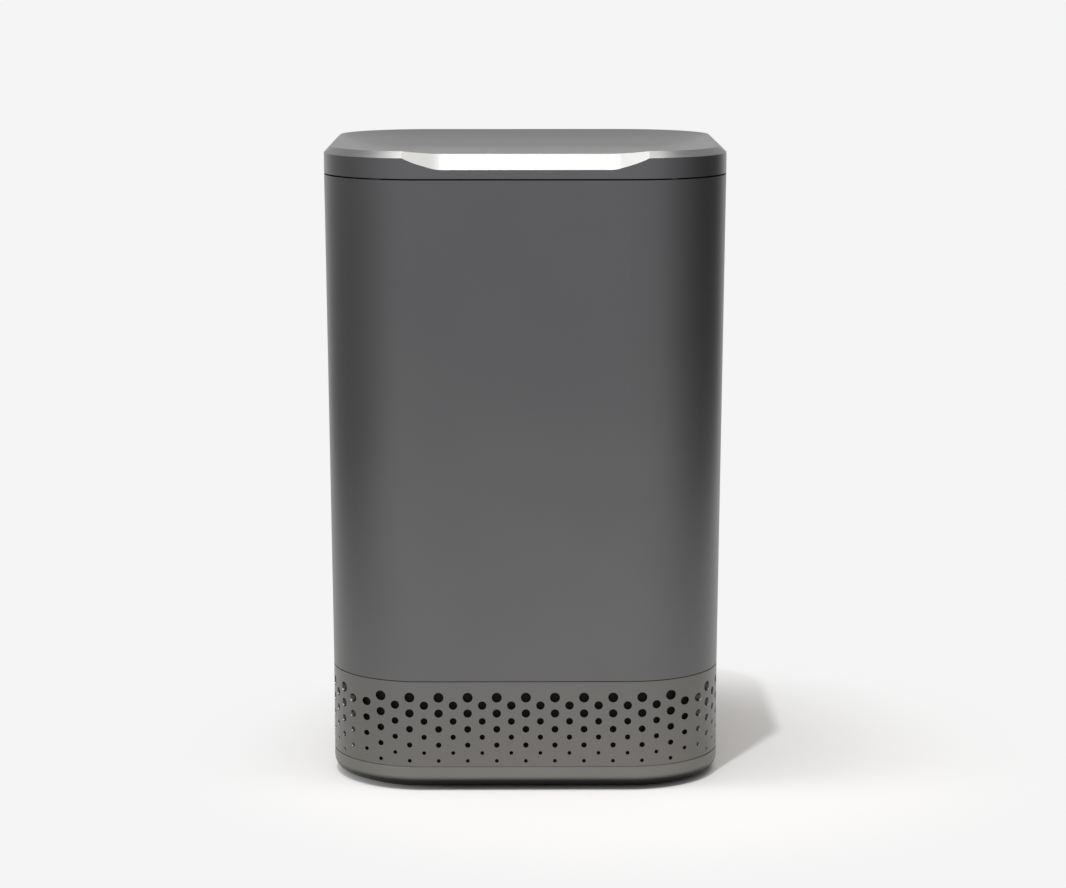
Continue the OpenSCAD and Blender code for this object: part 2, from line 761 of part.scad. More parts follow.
module drawer_seal() {
    y0 = face_y - seal_t;
    color("#7e1f1b") difference() {
        block(drawer_x, drawer_w, y0, face_y, drawer_z, drawer_top);
        block(drawer_x, tray_w + 1.2, y0 - 1, face_y + 1, drawer_z + 1.5, drawer_top - 1.5);
    }
}

// Two carbon canisters that stand in the drawer
module filter_canisters() {
    h = drawer_h - 11;
    color("#c9c4b6") for (x = [-canister_x, canister_x]) translate([drawer_x + x, canister_y, drawer_z + 4]) {
        difference() {
            union() {
                cylinder(r = canister_r - 1, h = h);
                for (z = [0, h - 3]) translate([0, 0, z]) cylinder(r = canister_r, h = 3);
            }
            for (n = [0, 1], a = [0:360 / (6 + 6 * n):359]) rotate([0, 0, a])
                translate([5 + 5 * n, 0, h - 2]) cylinder(r = 1.2, h = 4);
        }
    }
}

/* Electronics */
module power_board() {
    z = board_z;
    left = board_room - body_w / 2;
    right = -7;
    color("#1f5a3c") translate([0, board_y, 0]) {
        block((left + right) / 2, right - left, 0, 78, z, z + board_t);
        for (x = [left + 5, right - 5], y = [5, 73])
            translate([x, y, foot_h + base_t]) cylinder(r = 3, h = board_gap + tiny);
        block(-52, 30, 10, 38, z + board_t - tiny, z + 26);
        for (y = [18, 36]) translate([-26, y, z + board_t - tiny]) cylinder(r = 7, h = 22);
        for (y = [50, 60, 70]) block(-48, 26, y, y + 5, z + board_t - tiny, z + 16);
        block(-20, 12, 48, 70, z + board_t - tiny, z + 14);
    }
}

module control_board() {
    z = board_z;
    left = 8;
    right = body_w / 2 - board_room - 1;
    color("#1f5a3c") translate([0, board_y, 0]) {
        block((left + right) / 2, right - left, 4, 74, z, z + board_t);
        for (x = [left + 5, right - 5], y = [9, 69])
            translate([x, y, foot_h + base_t]) cylinder(r = 3, h = board_gap + tiny);
        block(34, 14, 30, 44, z + board_t - tiny, z + 3);
        for (x = [22, 32, 42, 52]) block(x, 7, 58, 65, z + board_t - tiny, z + 9);
        block(58, 8, 16, 50, z + board_t - tiny, z + 10);
        for (x = [18, 25]) translate([x, 18, z + board_t - tiny]) cylinder(r = 2.6, h = 7);
    }
}

// Mains socket with three pins below a rocker switch
module power_module() {
    color("#18191b") difference() {
        union() {
            intersection() {
                sleeve_solid(drawer_z - 3, drawer_top + 3);
                block(module_x, module_w, face_y, body_d, drawer_z, drawer_top);
            }
            block(module_x, module_w - 2, face_y - inlet_depth, face_y + 1, drawer_z + 1, drawer_top - 1);
        }
        translate([module_x, body_d / 2 + 5, socket_z]) rotate([90, 0, 0]) linear_extrude(inlet_depth)
            polygon([[-11, -8], [11, -8], [11, 4], [7, 8], [-7, 8], [-11, 4]]);
        block(module_x, rocker_w + 1, rocker_y - 8, body_d, rocker_z - rocker_h / 2 - 0.9,
            rocker_z + rocker_h / 2 + 0.9);
        translate([module_x, rocker_y, rocker_z]) rotate([0, 90, 0])
            cylinder(r = pivot_r + run, h = rocker_w + 3.6, center = true);
        for (p = inlet_spots) translate([module_x + p[0], 0, socket_z + p[1]])
            block(0, 2 + 2 * fit, face_y - inlet_depth - 1, body_d / 2, -2 - fit, 2 + fit);
    }
}

module inlet_pins() {
    color("#c7a24b") for (p = inlet_spots) translate([module_x + p[0], 0, socket_z + p[1]])
        block(0, 2, face_y - inlet_depth - 5, body_d / 2 - 9.4, -2, 2);
}

// Rocker that tips about a pin along x, drawn with its lower end pressed in
module rocker_switch() {
    color("#202224") translate([module_x, rocker_y, rocker_z]) {
        rotate([-8, 0, 0]) translate([-rocker_w / 2, 0, 0]) rotate([90, 0, 90])
            linear_extrude(rocker_w) polygon([
                [-3, -3], [-3, 3], [1.5, 5.6], [3.3, 5.7], [1.9, 0], [3.3, -5.7], [1.5, -5.6]
            ]);
        rotate([0, 90, 0]) cylinder(r = pivot_r, h = rocker_w + 3, center = true);
    }
}

/* Bucket */
module bucket() {
    inner = bucket_r - bucket_wall;
    floor_z = bucket_floor + bucket_floor_t;
    outer_arc = [for (a = [-90:15:0]) [bucket_r - 9 + 9 * cos(a), bucket_floor + 9 + 9 * sin(a)]];
    inner_arc = [for (a = [0:-15:-90]) [inner - 7 + 7 * cos(a), floor_z + 7 + 7 * sin(a)]];
    color("#3b3d40") at(axis) difference() {
        union() {
            rotate_extrude($fn = 128) polygon(concat(
                [[bush_r + fit, bucket_floor]], outer_arc,
                [[bucket_r, bucket_top - 2.5], [bucket_r + 2, bucket_top - 2.5],
                 [bucket_r + 2, bucket_top], [inner, bucket_top]],
                inner_arc,
                [[hub_boss_r + 1.5, floor_z], [hub_boss_r, hub_boss_top], [bush_r + fit, hub_boss_top]]
            ));
            translate([0, 0, well_floor + well_floor_t]) tube(bucket_r - 12.5, bucket_r - 16.5, 4);
        }
        for (turn = [0, 180], z = [-5, 5]) rotate([0, 0, turn])
            translate([inner - 4, 0, bucket_top - 12]) rotate([0, 90, 0])
                translate([0, z * 2.4, 0]) cylinder(r = screw_r + 0.1, h = 9);
    }
}

// Inward grips below the rim, riveted through the wall
module bucket_grips() {
    inner = bucket_r - bucket_wall;
    color("#1c1d1f") at(axis, bucket_top - 12) for (turn = [0, 180]) rotate([0, 0, turn]) {
        intersection() {
            translate([inner - 13, -22, -5]) cube([14, 44, 10]);
            cylinder(r = inner - fit, h = 24, center = true, $fn = 128);
            difference() {
                translate([0, 0, -6]) cylinder(r = inner + 1, h = 12);
                translate([0, 0, -7]) cylinder(r = inner - 4, h = 9);
                translate([0, 0, -7]) cylinder(r = inner - 12, h = 14);
            }
        }
        for (y = [-12, 12]) translate([inner - 3, y, 0]) rotate([0, 90, 0]) cylinder(r = screw_r, h = 4.4);
    }
}

module bucket_bush() {
    color("#c7a24b") at(axis, bucket_floor + 1.5)
        tube(bush_r, stem_r + run, hub_boss_top - bucket_floor - 3);
}

// Fixed bars on the bucket wall that the arms drag the scraps past
module breaker_bars() {
    inner = bucket_r - bucket_wall;
    color("#9a9da0") at(axis, breaker_z) for (turn = [90, 270]) rotate([0, 0, turn]) intersection() {
        translate([46, 0, 0]) rotate([90, 0, 90]) linear_extrude(inner - 44)
            polygon([[-4, 0], [4, 0], [1.5, breaker_h], [-1.5, breaker_h]]);
        cylinder(r = inner - fit, h = 20, $fn = 128);
    }
}

module agitator_arm(z, reach, h) {
    intersection() {
        translate([hub_r - 13, 0, z]) rotate([90, 0, 90]) linear_extrude(reach)
            polygon([[-8, 0], [2, 0], [6, h], [1, h]]);
        translate([0, 0, z - 1]) cylinder(r = reach, h = h + 2);
    }
}

module agitator() {
    socket_d = (dog_flats + 0.8) / cos(30);
    color("#8f9295") at(axis) difference() {
        union() {
            difference() {
                union() {
                    translate([0, 0, hub_z]) cylinder(r = hub_r, h = hub_top - hub_z);
                    for (turn = [0, 180]) rotate([0, 0, turn]) agitator_arm(hub_z, arm_reach, 11);
                }
                translate([0, 0, hub_z - 1]) cylinder(r = hub_boss_r + 2.2, h = hub_boss_top - hub_z + 2.4);
            }
            translate([0, 0, bucket_floor + 1]) cylinder(r = stem_r, h = hub_top - bucket_floor);
            translate([0, 0, hub_top - 1]) cylinder(r1 = cone_r, r2 = knob_r, h = cone_h + 1);
            translate([0, 0, hub_top + cone_h]) sphere(r = knob_r);
            for (turn = [90, 270]) rotate([0, 0, turn]) difference() {
                agitator_arm(breaker_z + breaker_h + 4, high_arm_reach, 10);
                translate([0, 0, hub_z]) cylinder(r = knob_r, h = hub_top + cone_h - hub_z);
            }
        }
        translate([0, 0, bucket_floor]) cylinder(d = socket_d, h = socket_top - bucket_floor, $fn = 6);
    }
}

/* Hinge */
module hinge_barrel(x0, x1) {
    translate([x0, hinge_y, hinge_z]) rotate([0, 90, 0]) cylinder(r = hinge_r, h = x1 - x0);
}

module hinge_bore(radius) {
    translate([-1.5 * hinge_half, hinge_y, hinge_z]) rotate([0, 90, 0])
        cylinder(r = radius, h = 3 * hinge_half);
}

module hinge_bracket() {
    color("#2a2b2e") difference() {
        union() {
            block(0, 2 * hinge_half, plate_screw_y - 8, body_d / 2 - 5.6, deck_top, deck_top + bracket_t);
            for (side = [-1, 1]) {
                x = side * (leaf_half + hinge_half) / 2 + side * slip / 2;
                block(x, hinge_half - leaf_half - slip, body_d / 2 - 8, hinge_y,
                    hinge_z - hinge_r, seam_z - 0.8);
                hinge_barrel(x - (hinge_half - leaf_half - slip) / 2, x + (hinge_half - leaf_half - slip) / 2);
            }
        }
        hinge_bore(hinge_pin_r + fit);
        for (x = plate_screws)
            translate([x, plate_screw_y, deck_top - 1]) cylinder(r = screw_r + fit, h = 6);
    }
}

module hinge_screws() {
    color("#b8bbbe") for (x = plate_screws)
        translate([x, plate_screw_y, deck_top + bracket_t]) pan_screw(7);
}

module hinge_pin() {
    color("#c2c5c8") translate([-hinge_half, hinge_y, hinge_z]) rotate([0, 90, 0])
        cylinder(r = hinge_pin_r, h = 2 * hinge_half);
}

module lid_hinge_leaf() {
    color("#2a2b2e") difference() {
        union() {
            hinge_barrel(-leaf_half, leaf_half);
            block(0, 2 * leaf_half, leaf_screw_y - 8, hinge_y, liner_z + 0.2, ceiling_z);
        }
        hinge_bore(hinge_pin_r + run);
        for (x = [-leaf_screw_x, leaf_screw_x])
            translate([x, leaf_screw_y, liner_z - 1]) cylinder(r = screw_r + fit, h = 8);
    }
}

module leaf_screws() {
    color("#b8bbbe") for (x = [-leaf_screw_x, leaf_screw_x])
        translate([x, leaf_screw_y, liner_z + 0.2]) mirror([0, 0, 1]) pan_screw(6.4);
}

module deck_magnets() {
    color("#c2c5c8") for (p = magnet_spots) at(p, deck_top - 2) cylinder(r = magnet_r, h = 2);
}

module lid_sensor() {
    color("#2b4f7a") {
        block(sensor_x, 14, sensor_y, sensor_y + 5.5, deck_z - 5, deck_z);
        for (x = [-4, 4]) translate([sensor_x + x, sensor_y + 3, deck_z - 9]) cylinder(r = 0.5, h = 5);
    }
}

/* Lid */
// The scoop is cut by a trough that runs back and up at 45 degrees from the front wall
module scoop_cutter() {
    blend = 32;
    lift = scoop_drop / sqrt(2);
    angle = atan(tan(ramp_angle) / sqrt(2));
    arc = [for (i = [0:6]) scoop_half * [1, 0] + blend * [sin(angle * i / 6), 1 - cos(angle * i / 6)]];
    run_out = (2 * lift - arc[6][1]) / tan(angle);
    right = concat(arc, [[arc[6][0] + run_out, 2 * lift], [arc[6][0] + run_out, 30]]);
    left = [for (i = [len(right) - 1:-1:0]) [-right[i][0], right[i][1]]];
    translate([0, -body_d / 2, chamfer_z - scoop_drop]) rotate([135, 0, 0])
        linear_extrude(60, center = true) polygon(concat(right, left));
}

module lid_profile() {
    arc = [for (i = [0:12]) [rim_r - dish_w + dish_r * sin(dish_angle * i / 12),
        dish_z + dish_r * (1 - cos(dish_angle * i / 12))]];
    polygon(concat([[0, lid_bottom], [0, dish_z]], arc, [[corner_r, chamfer_z], [corner_r, lid_bottom]]));
}

module lid_shell() {
    rib_z = ceiling_z - tiny;
    color("#646469") difference() {
        full_plan(lid_bottom, dish_z) lid_profile();
        plan_plate(corner_r - lid_wall, lid_bottom - 1, ceiling_z);
        difference() {
            round_plan() polygon([[corner_r - lid_wall, rib_z], [corner_r - lid_wall, chamfer_z - 1.5],
                [rim_r - 1, rim_z - 4], [rim_r - 14, ceiling_z + 2.4], [rim_r - 14, rib_z]]);
            block(0, 150, -body_d, -body_d / 2 + 24, lid_bottom, rim_z);
            block(0, 2 * leaf_half + 6, leaf_screw_y - 16, body_d, lid_bottom, rim_z);
            for (p = liner_spots) at(p, lid_bottom) cylinder(r = 4, h = 20);
        }
        scoop_cutter();
        block(0, 2 * (hinge_half + 1), hinge_y - hinge_r - 0.4, hinge_y + 9,
            lid_bottom - 1, hinge_z + hinge_r + hinge_room);
        translate([0, button_y, ceiling_z - 1]) cylinder(r = ring_r + fit, h = 10);
        for (p = liner_spots) at(p, ceiling_z - 1) cylinder(r = screw_r + fit, h = 4.4);
        for (x = [-leaf_screw_x, leaf_screw_x])
            translate([x, leaf_screw_y, ceiling_z - 1]) cylinder(r = screw_r + fit, h = 4.4);
    }
}

module lid_liner() {
    color("#2d2f32") difference() {
        union() {
            plan_plate(liner_r, liner_z, ceiling_z);
            at(axis, plug_z) cylinder(r = plug_r, h = liner_z - plug_z + 1, $fn = 128);
        }
        at(axis, plug_z + 2.2) cylinder(r = plug_r - 2.4, h = 20, $fn = 128);
        block(0, 2 * leaf_half + 1, leaf_screw_y - 8.5, body_d, liner_z - 1, ceiling_z + 1);
        block(0, 2 * (hinge_half + 1), hinge_y - hinge_r - 0.4, body_d, liner_z - 1, ceiling_z + 1);
        for (p = liner_spots) at(p, liner_z - 1) cylinder(r = screw_r + fit, h = 8);
        for (p = magnet_spots) at(p, liner_z - 1) cylinder(r = magnet_r + fit, h = 3.2);
    }
}

module lid_gasket() {
    color("#8c2a24") at(axis, deck_rim_z) tube(well_r + 3.4, well_r - 0.4, liner_z - deck_rim_z, $fn = 128);
}

module liner_screws() {
    color("#b8bbbe") for (p = liner_spots) at(p, liner_z) mirror([0, 0, 1]) pan_screw(6.4);
}

module lid_magnets() {
    color("#c2c5c8") for (p = magnet_spots) at(p, liner_z) cylinder(r = magnet_r, h = 2.2);
}

module light_ring() {
    color("#4c4c50") translate([0, button_y, ceiling_z - 1.2]) {
        tube(ring_r, button_r + slip, dish_z - ceiling_z + 1.2);
        tube(ring_r + 2, button_r + slip, 1.2 - tiny);
    }
}

module button_board() {
    z = plug_z + 2.2;
    color("#1f5a3c") {
        translate([0, button_y, z]) block(0, 34, -14, 14, 0, 1.6);
        translate([0, button_y, z + 1.6 - tiny]) block(0, 6, -3, 3, 0, 1);
        for (a = [45:90:315]) translate([0, button_y, z + 1.6 - tiny]) rotate([0, 0, a])
            translate([ring_r - 1, 0, 0]) cylinder(r = 1.2, h = 1);
    }
}

module start_button() {
    color("#646469") translate([0, button_y, 0]) {
        translate([0, 0, ceiling_z - 2.4]) cylinder(r = button_r, h = dish_z - ceiling_z + 2.2);
        translate([0, 0, ceiling_z - 3.6]) cylinder(r = button_r + 1.8, h = 2.1);
        translate([0, 0, ceiling_z - 4.4]) cylinder(r = 2, h = 1);
    }
}

outer_sleeve();
vent_ring();
dust_screen();
base_plate();
foot_ring();
base_screws();
chassis_frame();
tie_rods();
tie_nuts();
top_deck();
bucket_well();
well_seal();
heater_ring();
insulation_pad();
thermostat();
shaft_seal();
gearbox_base();
gearbox_cover();
gearbox_screws();
shaft_bearings();
compound_axle();
drive_motor();
motor_pinion();
compound_gear();
drive_gear();
drive_shaft();
drive_dog();
fan_frame();
fan_screws();
fan_impeller();
air_duct();
filter_bay();
filter_drawer();
drawer_seal();
filter_canisters();
power_board();
control_board();
power_module();
inlet_pins();
rocker_switch();
bucket();
bucket_grips();
bucket_bush();
breaker_bars();
agitator();
hinge_bracket();
hinge_screws();
hinge_pin();
lid_hinge_leaf();
leaf_screws();
deck_magnets();
lid_sensor();
lid_shell();
lid_liner();
lid_gasket();
liner_screws();
lid_magnets();
light_ring();
button_board();
start_button();
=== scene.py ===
import math

import bmesh
import bpy
from mathutils import Matrix, Vector


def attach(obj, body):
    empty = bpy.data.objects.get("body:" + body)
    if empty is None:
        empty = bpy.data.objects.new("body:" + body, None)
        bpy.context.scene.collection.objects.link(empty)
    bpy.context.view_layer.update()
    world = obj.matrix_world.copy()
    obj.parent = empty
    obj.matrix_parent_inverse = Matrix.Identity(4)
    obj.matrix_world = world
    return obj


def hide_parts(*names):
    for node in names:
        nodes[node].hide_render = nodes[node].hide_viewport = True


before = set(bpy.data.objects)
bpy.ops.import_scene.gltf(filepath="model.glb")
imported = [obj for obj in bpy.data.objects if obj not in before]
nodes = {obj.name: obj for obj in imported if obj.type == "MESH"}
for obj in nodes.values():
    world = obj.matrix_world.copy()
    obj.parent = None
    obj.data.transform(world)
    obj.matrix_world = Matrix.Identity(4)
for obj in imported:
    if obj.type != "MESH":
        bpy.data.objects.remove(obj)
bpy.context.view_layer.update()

# Camera
# It stands 1.7 m in front of the body and a little above the lid, behind a long lens, as the
# photograph was taken.
CAMERA_AT = (-0.0071, -1.7114, 0.4571)
CAMERA_TILT = math.radians(80.675)
CAMERA_TURN = math.radians(-0.391)
LENS_MM = 102.46
SENSOR_MM = 36
camera_data = bpy.data.cameras.new("camera")
camera_data.lens = LENS_MM
camera_data.sensor_width = SENSOR_MM
camera = bpy.data.objects.new("camera", camera_data)
camera.location = CAMERA_AT
camera.rotation_euler = (CAMERA_TILT, 0, CAMERA_TURN)
bpy.context.scene.collection.objects.link(camera)
bpy.context.scene.camera = camera
bpy.context.scene.view_settings.view_transform = "Standard"

# Floor and backdrop
# A sheet of pale matt paper under the object. It keeps the shadow, which falls to the right, and
# further off it has the backdrop's own even tone.
PAPER_X = (-0.68, 0.78)
PAPER_Y = (-0.88, 1.3)
PAPER_TONE = "#e9e7e5"
SHADOW_MIDDLE = (0.05, -0.02, 0)
SHADOW_REACH = 0.11
SHADOW_END = 0.27


def linear(hex_colour):
    """A hex sRGB colour as linear red, green, blue and alpha."""
    parts = [int(hex_colour[i:i + 2], 16) / 255 for i in (1, 3, 5)]
    return [c / 12.92 if c <= 0.04045 else ((c + 0.055) / 1.055) ** 2.4 for c in parts] + [1]


def add(tree, kind, **settings):
    """Adds a shader node. A lower-case name is a property, any other is a socket (i0 is the first);
    a socket takes a value or another node's output."""
    node = tree.nodes.new(kind)
    for name, value in settings.items():
        if name[0].islower() and not name[1:].isdigit():
            setattr(node, name, value)
            continue
        socket = node.inputs[int(name[1:]) if name[1:].isdigit() else name.replace("_", " ")]
        if isinstance(value, bpy.types.NodeSocket):
            tree.links.new(value, socket)
        else:
            socket.default_value = value
    return node


BACKDROP = linear("#f5f5f5")
floor_mesh = bpy.data.meshes.new("floor")
floor_mesh.from_pydata(
    [(PAPER_X[0], PAPER_Y[0], 0), (PAPER_X[1], PAPER_Y[0], 0),
     (PAPER_X[1], PAPER_Y[1], 0), (PAPER_X[0], PAPER_Y[1], 0)], [], [(0, 1, 2, 3)])
floor = bpy.data.objects.new("floor", floor_mesh)
bpy.context.scene.collection.objects.link(floor)
# Uncoated paper scatters all light, so only the shadow shows on it.
paper = bpy.data.materials.new("matt_paper")
paper.use_nodes = True
tree = paper.node_tree
tree.nodes.clear()
path = add(tree, "ShaderNodeLightPath")
place = add(tree, "ShaderNodeTexCoord")
away = add(tree, "ShaderNodeVectorMath", operation="DISTANCE", i0=place.outputs["Object"],
           i1=SHADOW_MIDDLE)
fade = add(tree, "ShaderNodeMapRange", interpolation_type="SMOOTHSTEP",
           Value=away.outputs["Value"], From_Min=SHADOW_REACH, From_Max=SHADOW_END)
matt = add(tree, "ShaderNodeBsdfDiffuse", Color=linear(PAPER_TONE))
even = add(tree, "ShaderNodeEmission", Color=BACKDROP, Strength=1.0)
mirrored = add(tree, "ShaderNodeMath", operation="MAXIMUM",
               i0=path.outputs["Is Glossy Ray"], i1=path.outputs["Is Transmission Ray"])
seen = add(tree, "ShaderNodeMath", operation="MAXIMUM",
           i0=path.outputs["Is Camera Ray"], i1=mirrored.outputs["Value"])
share = add(tree, "ShaderNodeMath", operation="MULTIPLY",
            i0=fade.outputs["Result"], i1=seen.outputs["Value"])
mix = add(tree, "ShaderNodeMixShader",
          Fac=share.outputs["Value"], i1=matt.outputs["BSDF"], i2=even.outputs["Emission"])
add(tree, "ShaderNodeOutputMaterial", Surface=mix.outputs["Shader"])
floor_mesh.materials.append(paper)

# Studio
# A room with a white sheet behind the object, a bright wall in front, dimmer ones at the sides
# and a pale ceiling. A wide softbox hangs overhead, and one small hard lamp at the upper left
# front throws the short shadow.

# Wall levels by place, from the back (0 and 1) by the left (0.25), front (0.5) and right (0.75)
ROOM_LEVELS = [
    (0.00, 0.70), (0.05, 0.72), (0.09, 1.00), (0.17, 0.55), (0.25, 0.48), (0.36, 0.84),
    (0.44, 1.12), (0.50, 1.12), (0.58, 0.98), (0.66, 0.52), (0.75, 0.12), (0.85, 0.12),
    (0.91, 0.80), (0.95, 0.72), (1.00, 0.70)]
# The front wall is a little cool, from 0.3 to 0.7
COOL_SPAN = (0.3, 0.7)
COOL_TINT = (0.97, 0.965, 1.04)
# Ceiling, floor and sheet set in between two values of a direction's upward part, and the
# sheet's sides between two values of its part towards the back
CEILING = (1.0, 1.0, 1.0, 1)
CEILING_RISE = (0.2, 0.7)
ROOM_FLOOR = (0.2, 0.195, 0.19, 1)
FLOOR_SINK = (0.0, -0.25)
SHEET_TOP = (0.14, 0.06)
SHEET_SIDES = (0.80, 0.88)
# Matt surfaces take half of the room's light, so that the lamps shape them
DIFFUSE_LEVEL = 0.5
world = bpy.data.worlds.new("studio")
bpy.context.scene.world = world
world.use_nodes = True
tree = world.node_tree
tree.nodes.clear()
path = add(tree, "ShaderNodeLightPath")
sight = add(tree, "ShaderNodeTexCoord")
split = add(tree, "ShaderNodeSeparateXYZ", Vector=sight.outputs["Generated"])
forward = add(tree, "ShaderNodeMath", operation="MULTIPLY", i0=split.outputs["Y"], i1=-1.0)
bearing = add(tree, "ShaderNodeMath", operation="ARCTAN2",
              i0=split.outputs["X"], i1=forward.outputs["Value"])
round_room = add(tree, "ShaderNodeMapRange", Value=bearing.outputs["Value"],
                 From_Min=-math.pi, From_Max=math.pi)
walls = add(tree, "ShaderNodeValToRGB", Fac=round_room.outputs["Result"])
ramp = walls.color_ramp
while len(ramp.elements) < len(ROOM_LEVELS):
    ramp.elements.new(0.5)
for stop, (position, level) in zip(ramp.elements, ROOM_LEVELS):
    tint = COOL_TINT if COOL_SPAN[0] < position < COOL_SPAN[1] else (1, 1, 1)
    stop.position = position
    stop.color = [level * part for part in tint] + [1]
rise = add(tree, "ShaderNodeMapRange", interpolation_type="SMOOTHSTEP",
           Value=split.outputs["Z"], From_Min=CEILING_RISE[0], From_Max=CEILING_RISE[1])
upper = add(tree, "ShaderNodeMix", data_type="RGBA", Factor=rise.outputs["Result"],
            i6=walls.outputs["Color"], i7=CEILING)
sink = add(tree, "ShaderNodeMapRange", interpolation_type="SMOOTHSTEP",
           Value=split.outputs["Z"], From_Min=FLOOR_SINK[0], From_Max=FLOOR_SINK[1])
lower = add(tree, "ShaderNodeMix", data_type="RGBA", Factor=sink.outputs["Result"],
            i6=upper.outputs[2], i7=ROOM_FLOOR)
soften = add(tree, "ShaderNodeMapRange", Value=path.outputs["Is Diffuse Ray"],
             To_Min=1.0, To_Max=DIFFUSE_LEVEL)
room = add(tree, "ShaderNodeBackground", Color=lower.outputs[2],
           Strength=soften.outputs["Result"])
white = add(tree, "ShaderNodeBackground", Color=BACKDROP, Strength=1.0)
behind = add(tree, "ShaderNodeMapRange", interpolation_type="SMOOTHSTEP",
             Value=split.outputs["Y"], From_Min=SHEET_SIDES[0], From_Max=SHEET_SIDES[1])
top_edge = add(tree, "ShaderNodeMapRange", interpolation_type="SMOOTHSTEP",
               Value=split.outputs["Z"], From_Min=SHEET_TOP[0], From_Max=SHEET_TOP[1])
sheet = add(tree, "ShaderNodeMath", operation="MULTIPLY",
            i0=behind.outputs["Result"], i1=top_edge.outputs["Result"])
mirrored = add(tree, "ShaderNodeMath", operation="MAXIMUM",
               i0=path.outputs["Is Glossy Ray"], i1=path.outputs["Is Transmission Ray"])
shown = add(tree, "ShaderNodeMath", operation="MULTIPLY",
            i0=mirrored.outputs["Value"], i1=sheet.outputs["Value"])
seen = add(tree, "ShaderNodeMath", operation="MAXIMUM",
           i0=path.outputs["Is Camera Ray"], i1=shown.outputs["Value"])
mix = add(tree, "ShaderNodeMixShader", Fac=seen.outputs["Value"],
          i1=room.outputs["Background"], i2=white.outputs["Background"])
add(tree, "ShaderNodeOutputWorld", Surface=mix.outputs["Shader"])


def light(name, kind, at, aim, **settings):
    """A lamp of a kind that faces a point."""
    data = bpy.data.lights.new(name, kind)
    for key, value in settings.items():
        setattr(data, key, value)
    lamp = bpy.data.objects.new(name, data)
    lamp.location = at
    lamp.rotation_euler = (Vector(aim) - Vector(at)).to_track_quat("-Z", "Y").to_euler()
    lamp.visible_camera = False
    bpy.context.scene.collection.objects.link(lamp)


light("overhead_softbox", "AREA", at=(-0.3, -0.24, 1.9), aim=(-0.3, -0.1, 0),
      shape="RECTANGLE", size=2.5, size_y=0.42, energy=23.5, color=(1.0, 0.975, 0.95))
light("hard_lamp", "SUN", at=(-0.4, -0.9, 3.5), aim=(0, 0, 0),
      energy=1.05, angle=math.radians(1.5), color=(0.96, 1.0, 1.05))

# Base
# A die-cast plinth with a machined edge. Its undercut, inside and underside are painted near black
# as painted shade, so that it stands in its own shadow, and a rubber ring is pressed into a groove
# below.
MM = 0.001
# The plan of base and band: a corner radius, and half the flats between the corners. The third
# value lies above everything, so that height doesn't count.
PLAN_R = 51.3
PLAN_FLAT = (56.0, 49.0, 1000.0)
# Heights, and depths below the outer face, between which painted shade takes over
UNDERCUT_SHADE_Z = (5.0, 8.2)
PLINTH_SHADE_DEPTHS = (1.6, 2.0)


def finish(name, dark, pale, patch, grit, depth, rough, spread, stretch=(1, 1, 1), **sockets):
    """A Principled material. Its colour drifts from dark to pale in patches, and a grit makes the
    bump and a little of the roughness. Patch, grit and depth are in millimetres."""
    material = bpy.data.materials.new(name)
    material.use_nodes = True
    tree = material.node_tree
    tree.nodes.clear()
    place = add(tree, "ShaderNodeTexCoord")
    drift = add(tree, "ShaderNodeTexNoise", Vector=place.outputs["Object"],
                Scale=1 / (patch * MM), Detail=3.0)
    tone = add(tree, "ShaderNodeMix", data_type="RGBA", Factor=drift.outputs["Fac"],
               i6=linear(dark), i7=linear(pale))
    warp = add(tree, "ShaderNodeMapping", Vector=place.outputs["Object"], Scale=stretch)
    noise = add(tree, "ShaderNodeTexNoise", Vector=warp.outputs["Vector"],
                Scale=1 / (grit * MM), Detail=2.0)
    bump = add(tree, "ShaderNodeBump", Height=noise.outputs["Fac"], Distance=depth * MM)
    uneven = add(tree, "ShaderNodeMapRange", Value=noise.outputs["Fac"],
                 To_Min=rough - spread, To_Max=rough + spread)
    shader = add(tree, "ShaderNodeBsdfPrincipled", Base_Color=tone.outputs[2],
                 Roughness=uneven.outputs["Result"], Normal=bump.outputs["Normal"], **sockets)
    add(tree, "ShaderNodeOutputMaterial", Surface=shader.outputs["BSDF"])
    return material, tree, shader, tone.outputs[2]


def dress(material, *names):
    """Gives CAD nodes their material."""
    for name in names:
        data = nodes[name].data
        data.materials.clear()
        data.materials.append(material)


def painted_shade_depth_mask(tree, unshaded_depth, shaded_depth):
    """A mask of painted shade for base and band: 1 down to an unshaded depth below their outer
    face, and 0, where painted shade takes over, beyond a shaded depth, in millimetres."""
    place = add(tree, "ShaderNodeTexCoord")
    folded = add(tree, "ShaderNodeVectorMath", operation="ABSOLUTE", i0=place.outputs["Object"])
    corner = add(tree, "ShaderNodeVectorMath", operation="SUBTRACT", i0=folded.outputs["Vector"],
                 i1=[length * MM for length in PLAN_FLAT])
    beyond = add(tree, "ShaderNodeVectorMath", operation="MAXIMUM", i0=corner.outputs["Vector"],
                 i1=(0, 0, 0))
    reach = add(tree, "ShaderNodeVectorMath", operation="LENGTH", i0=beyond.outputs["Vector"])
    mask = add(tree, "ShaderNodeMapRange", Value=reach.outputs["Value"],
               From_Min=(PLAN_R - shaded_depth) * MM, From_Max=(PLAN_R - unshaded_depth) * MM)
    return mask.outputs["Result"]


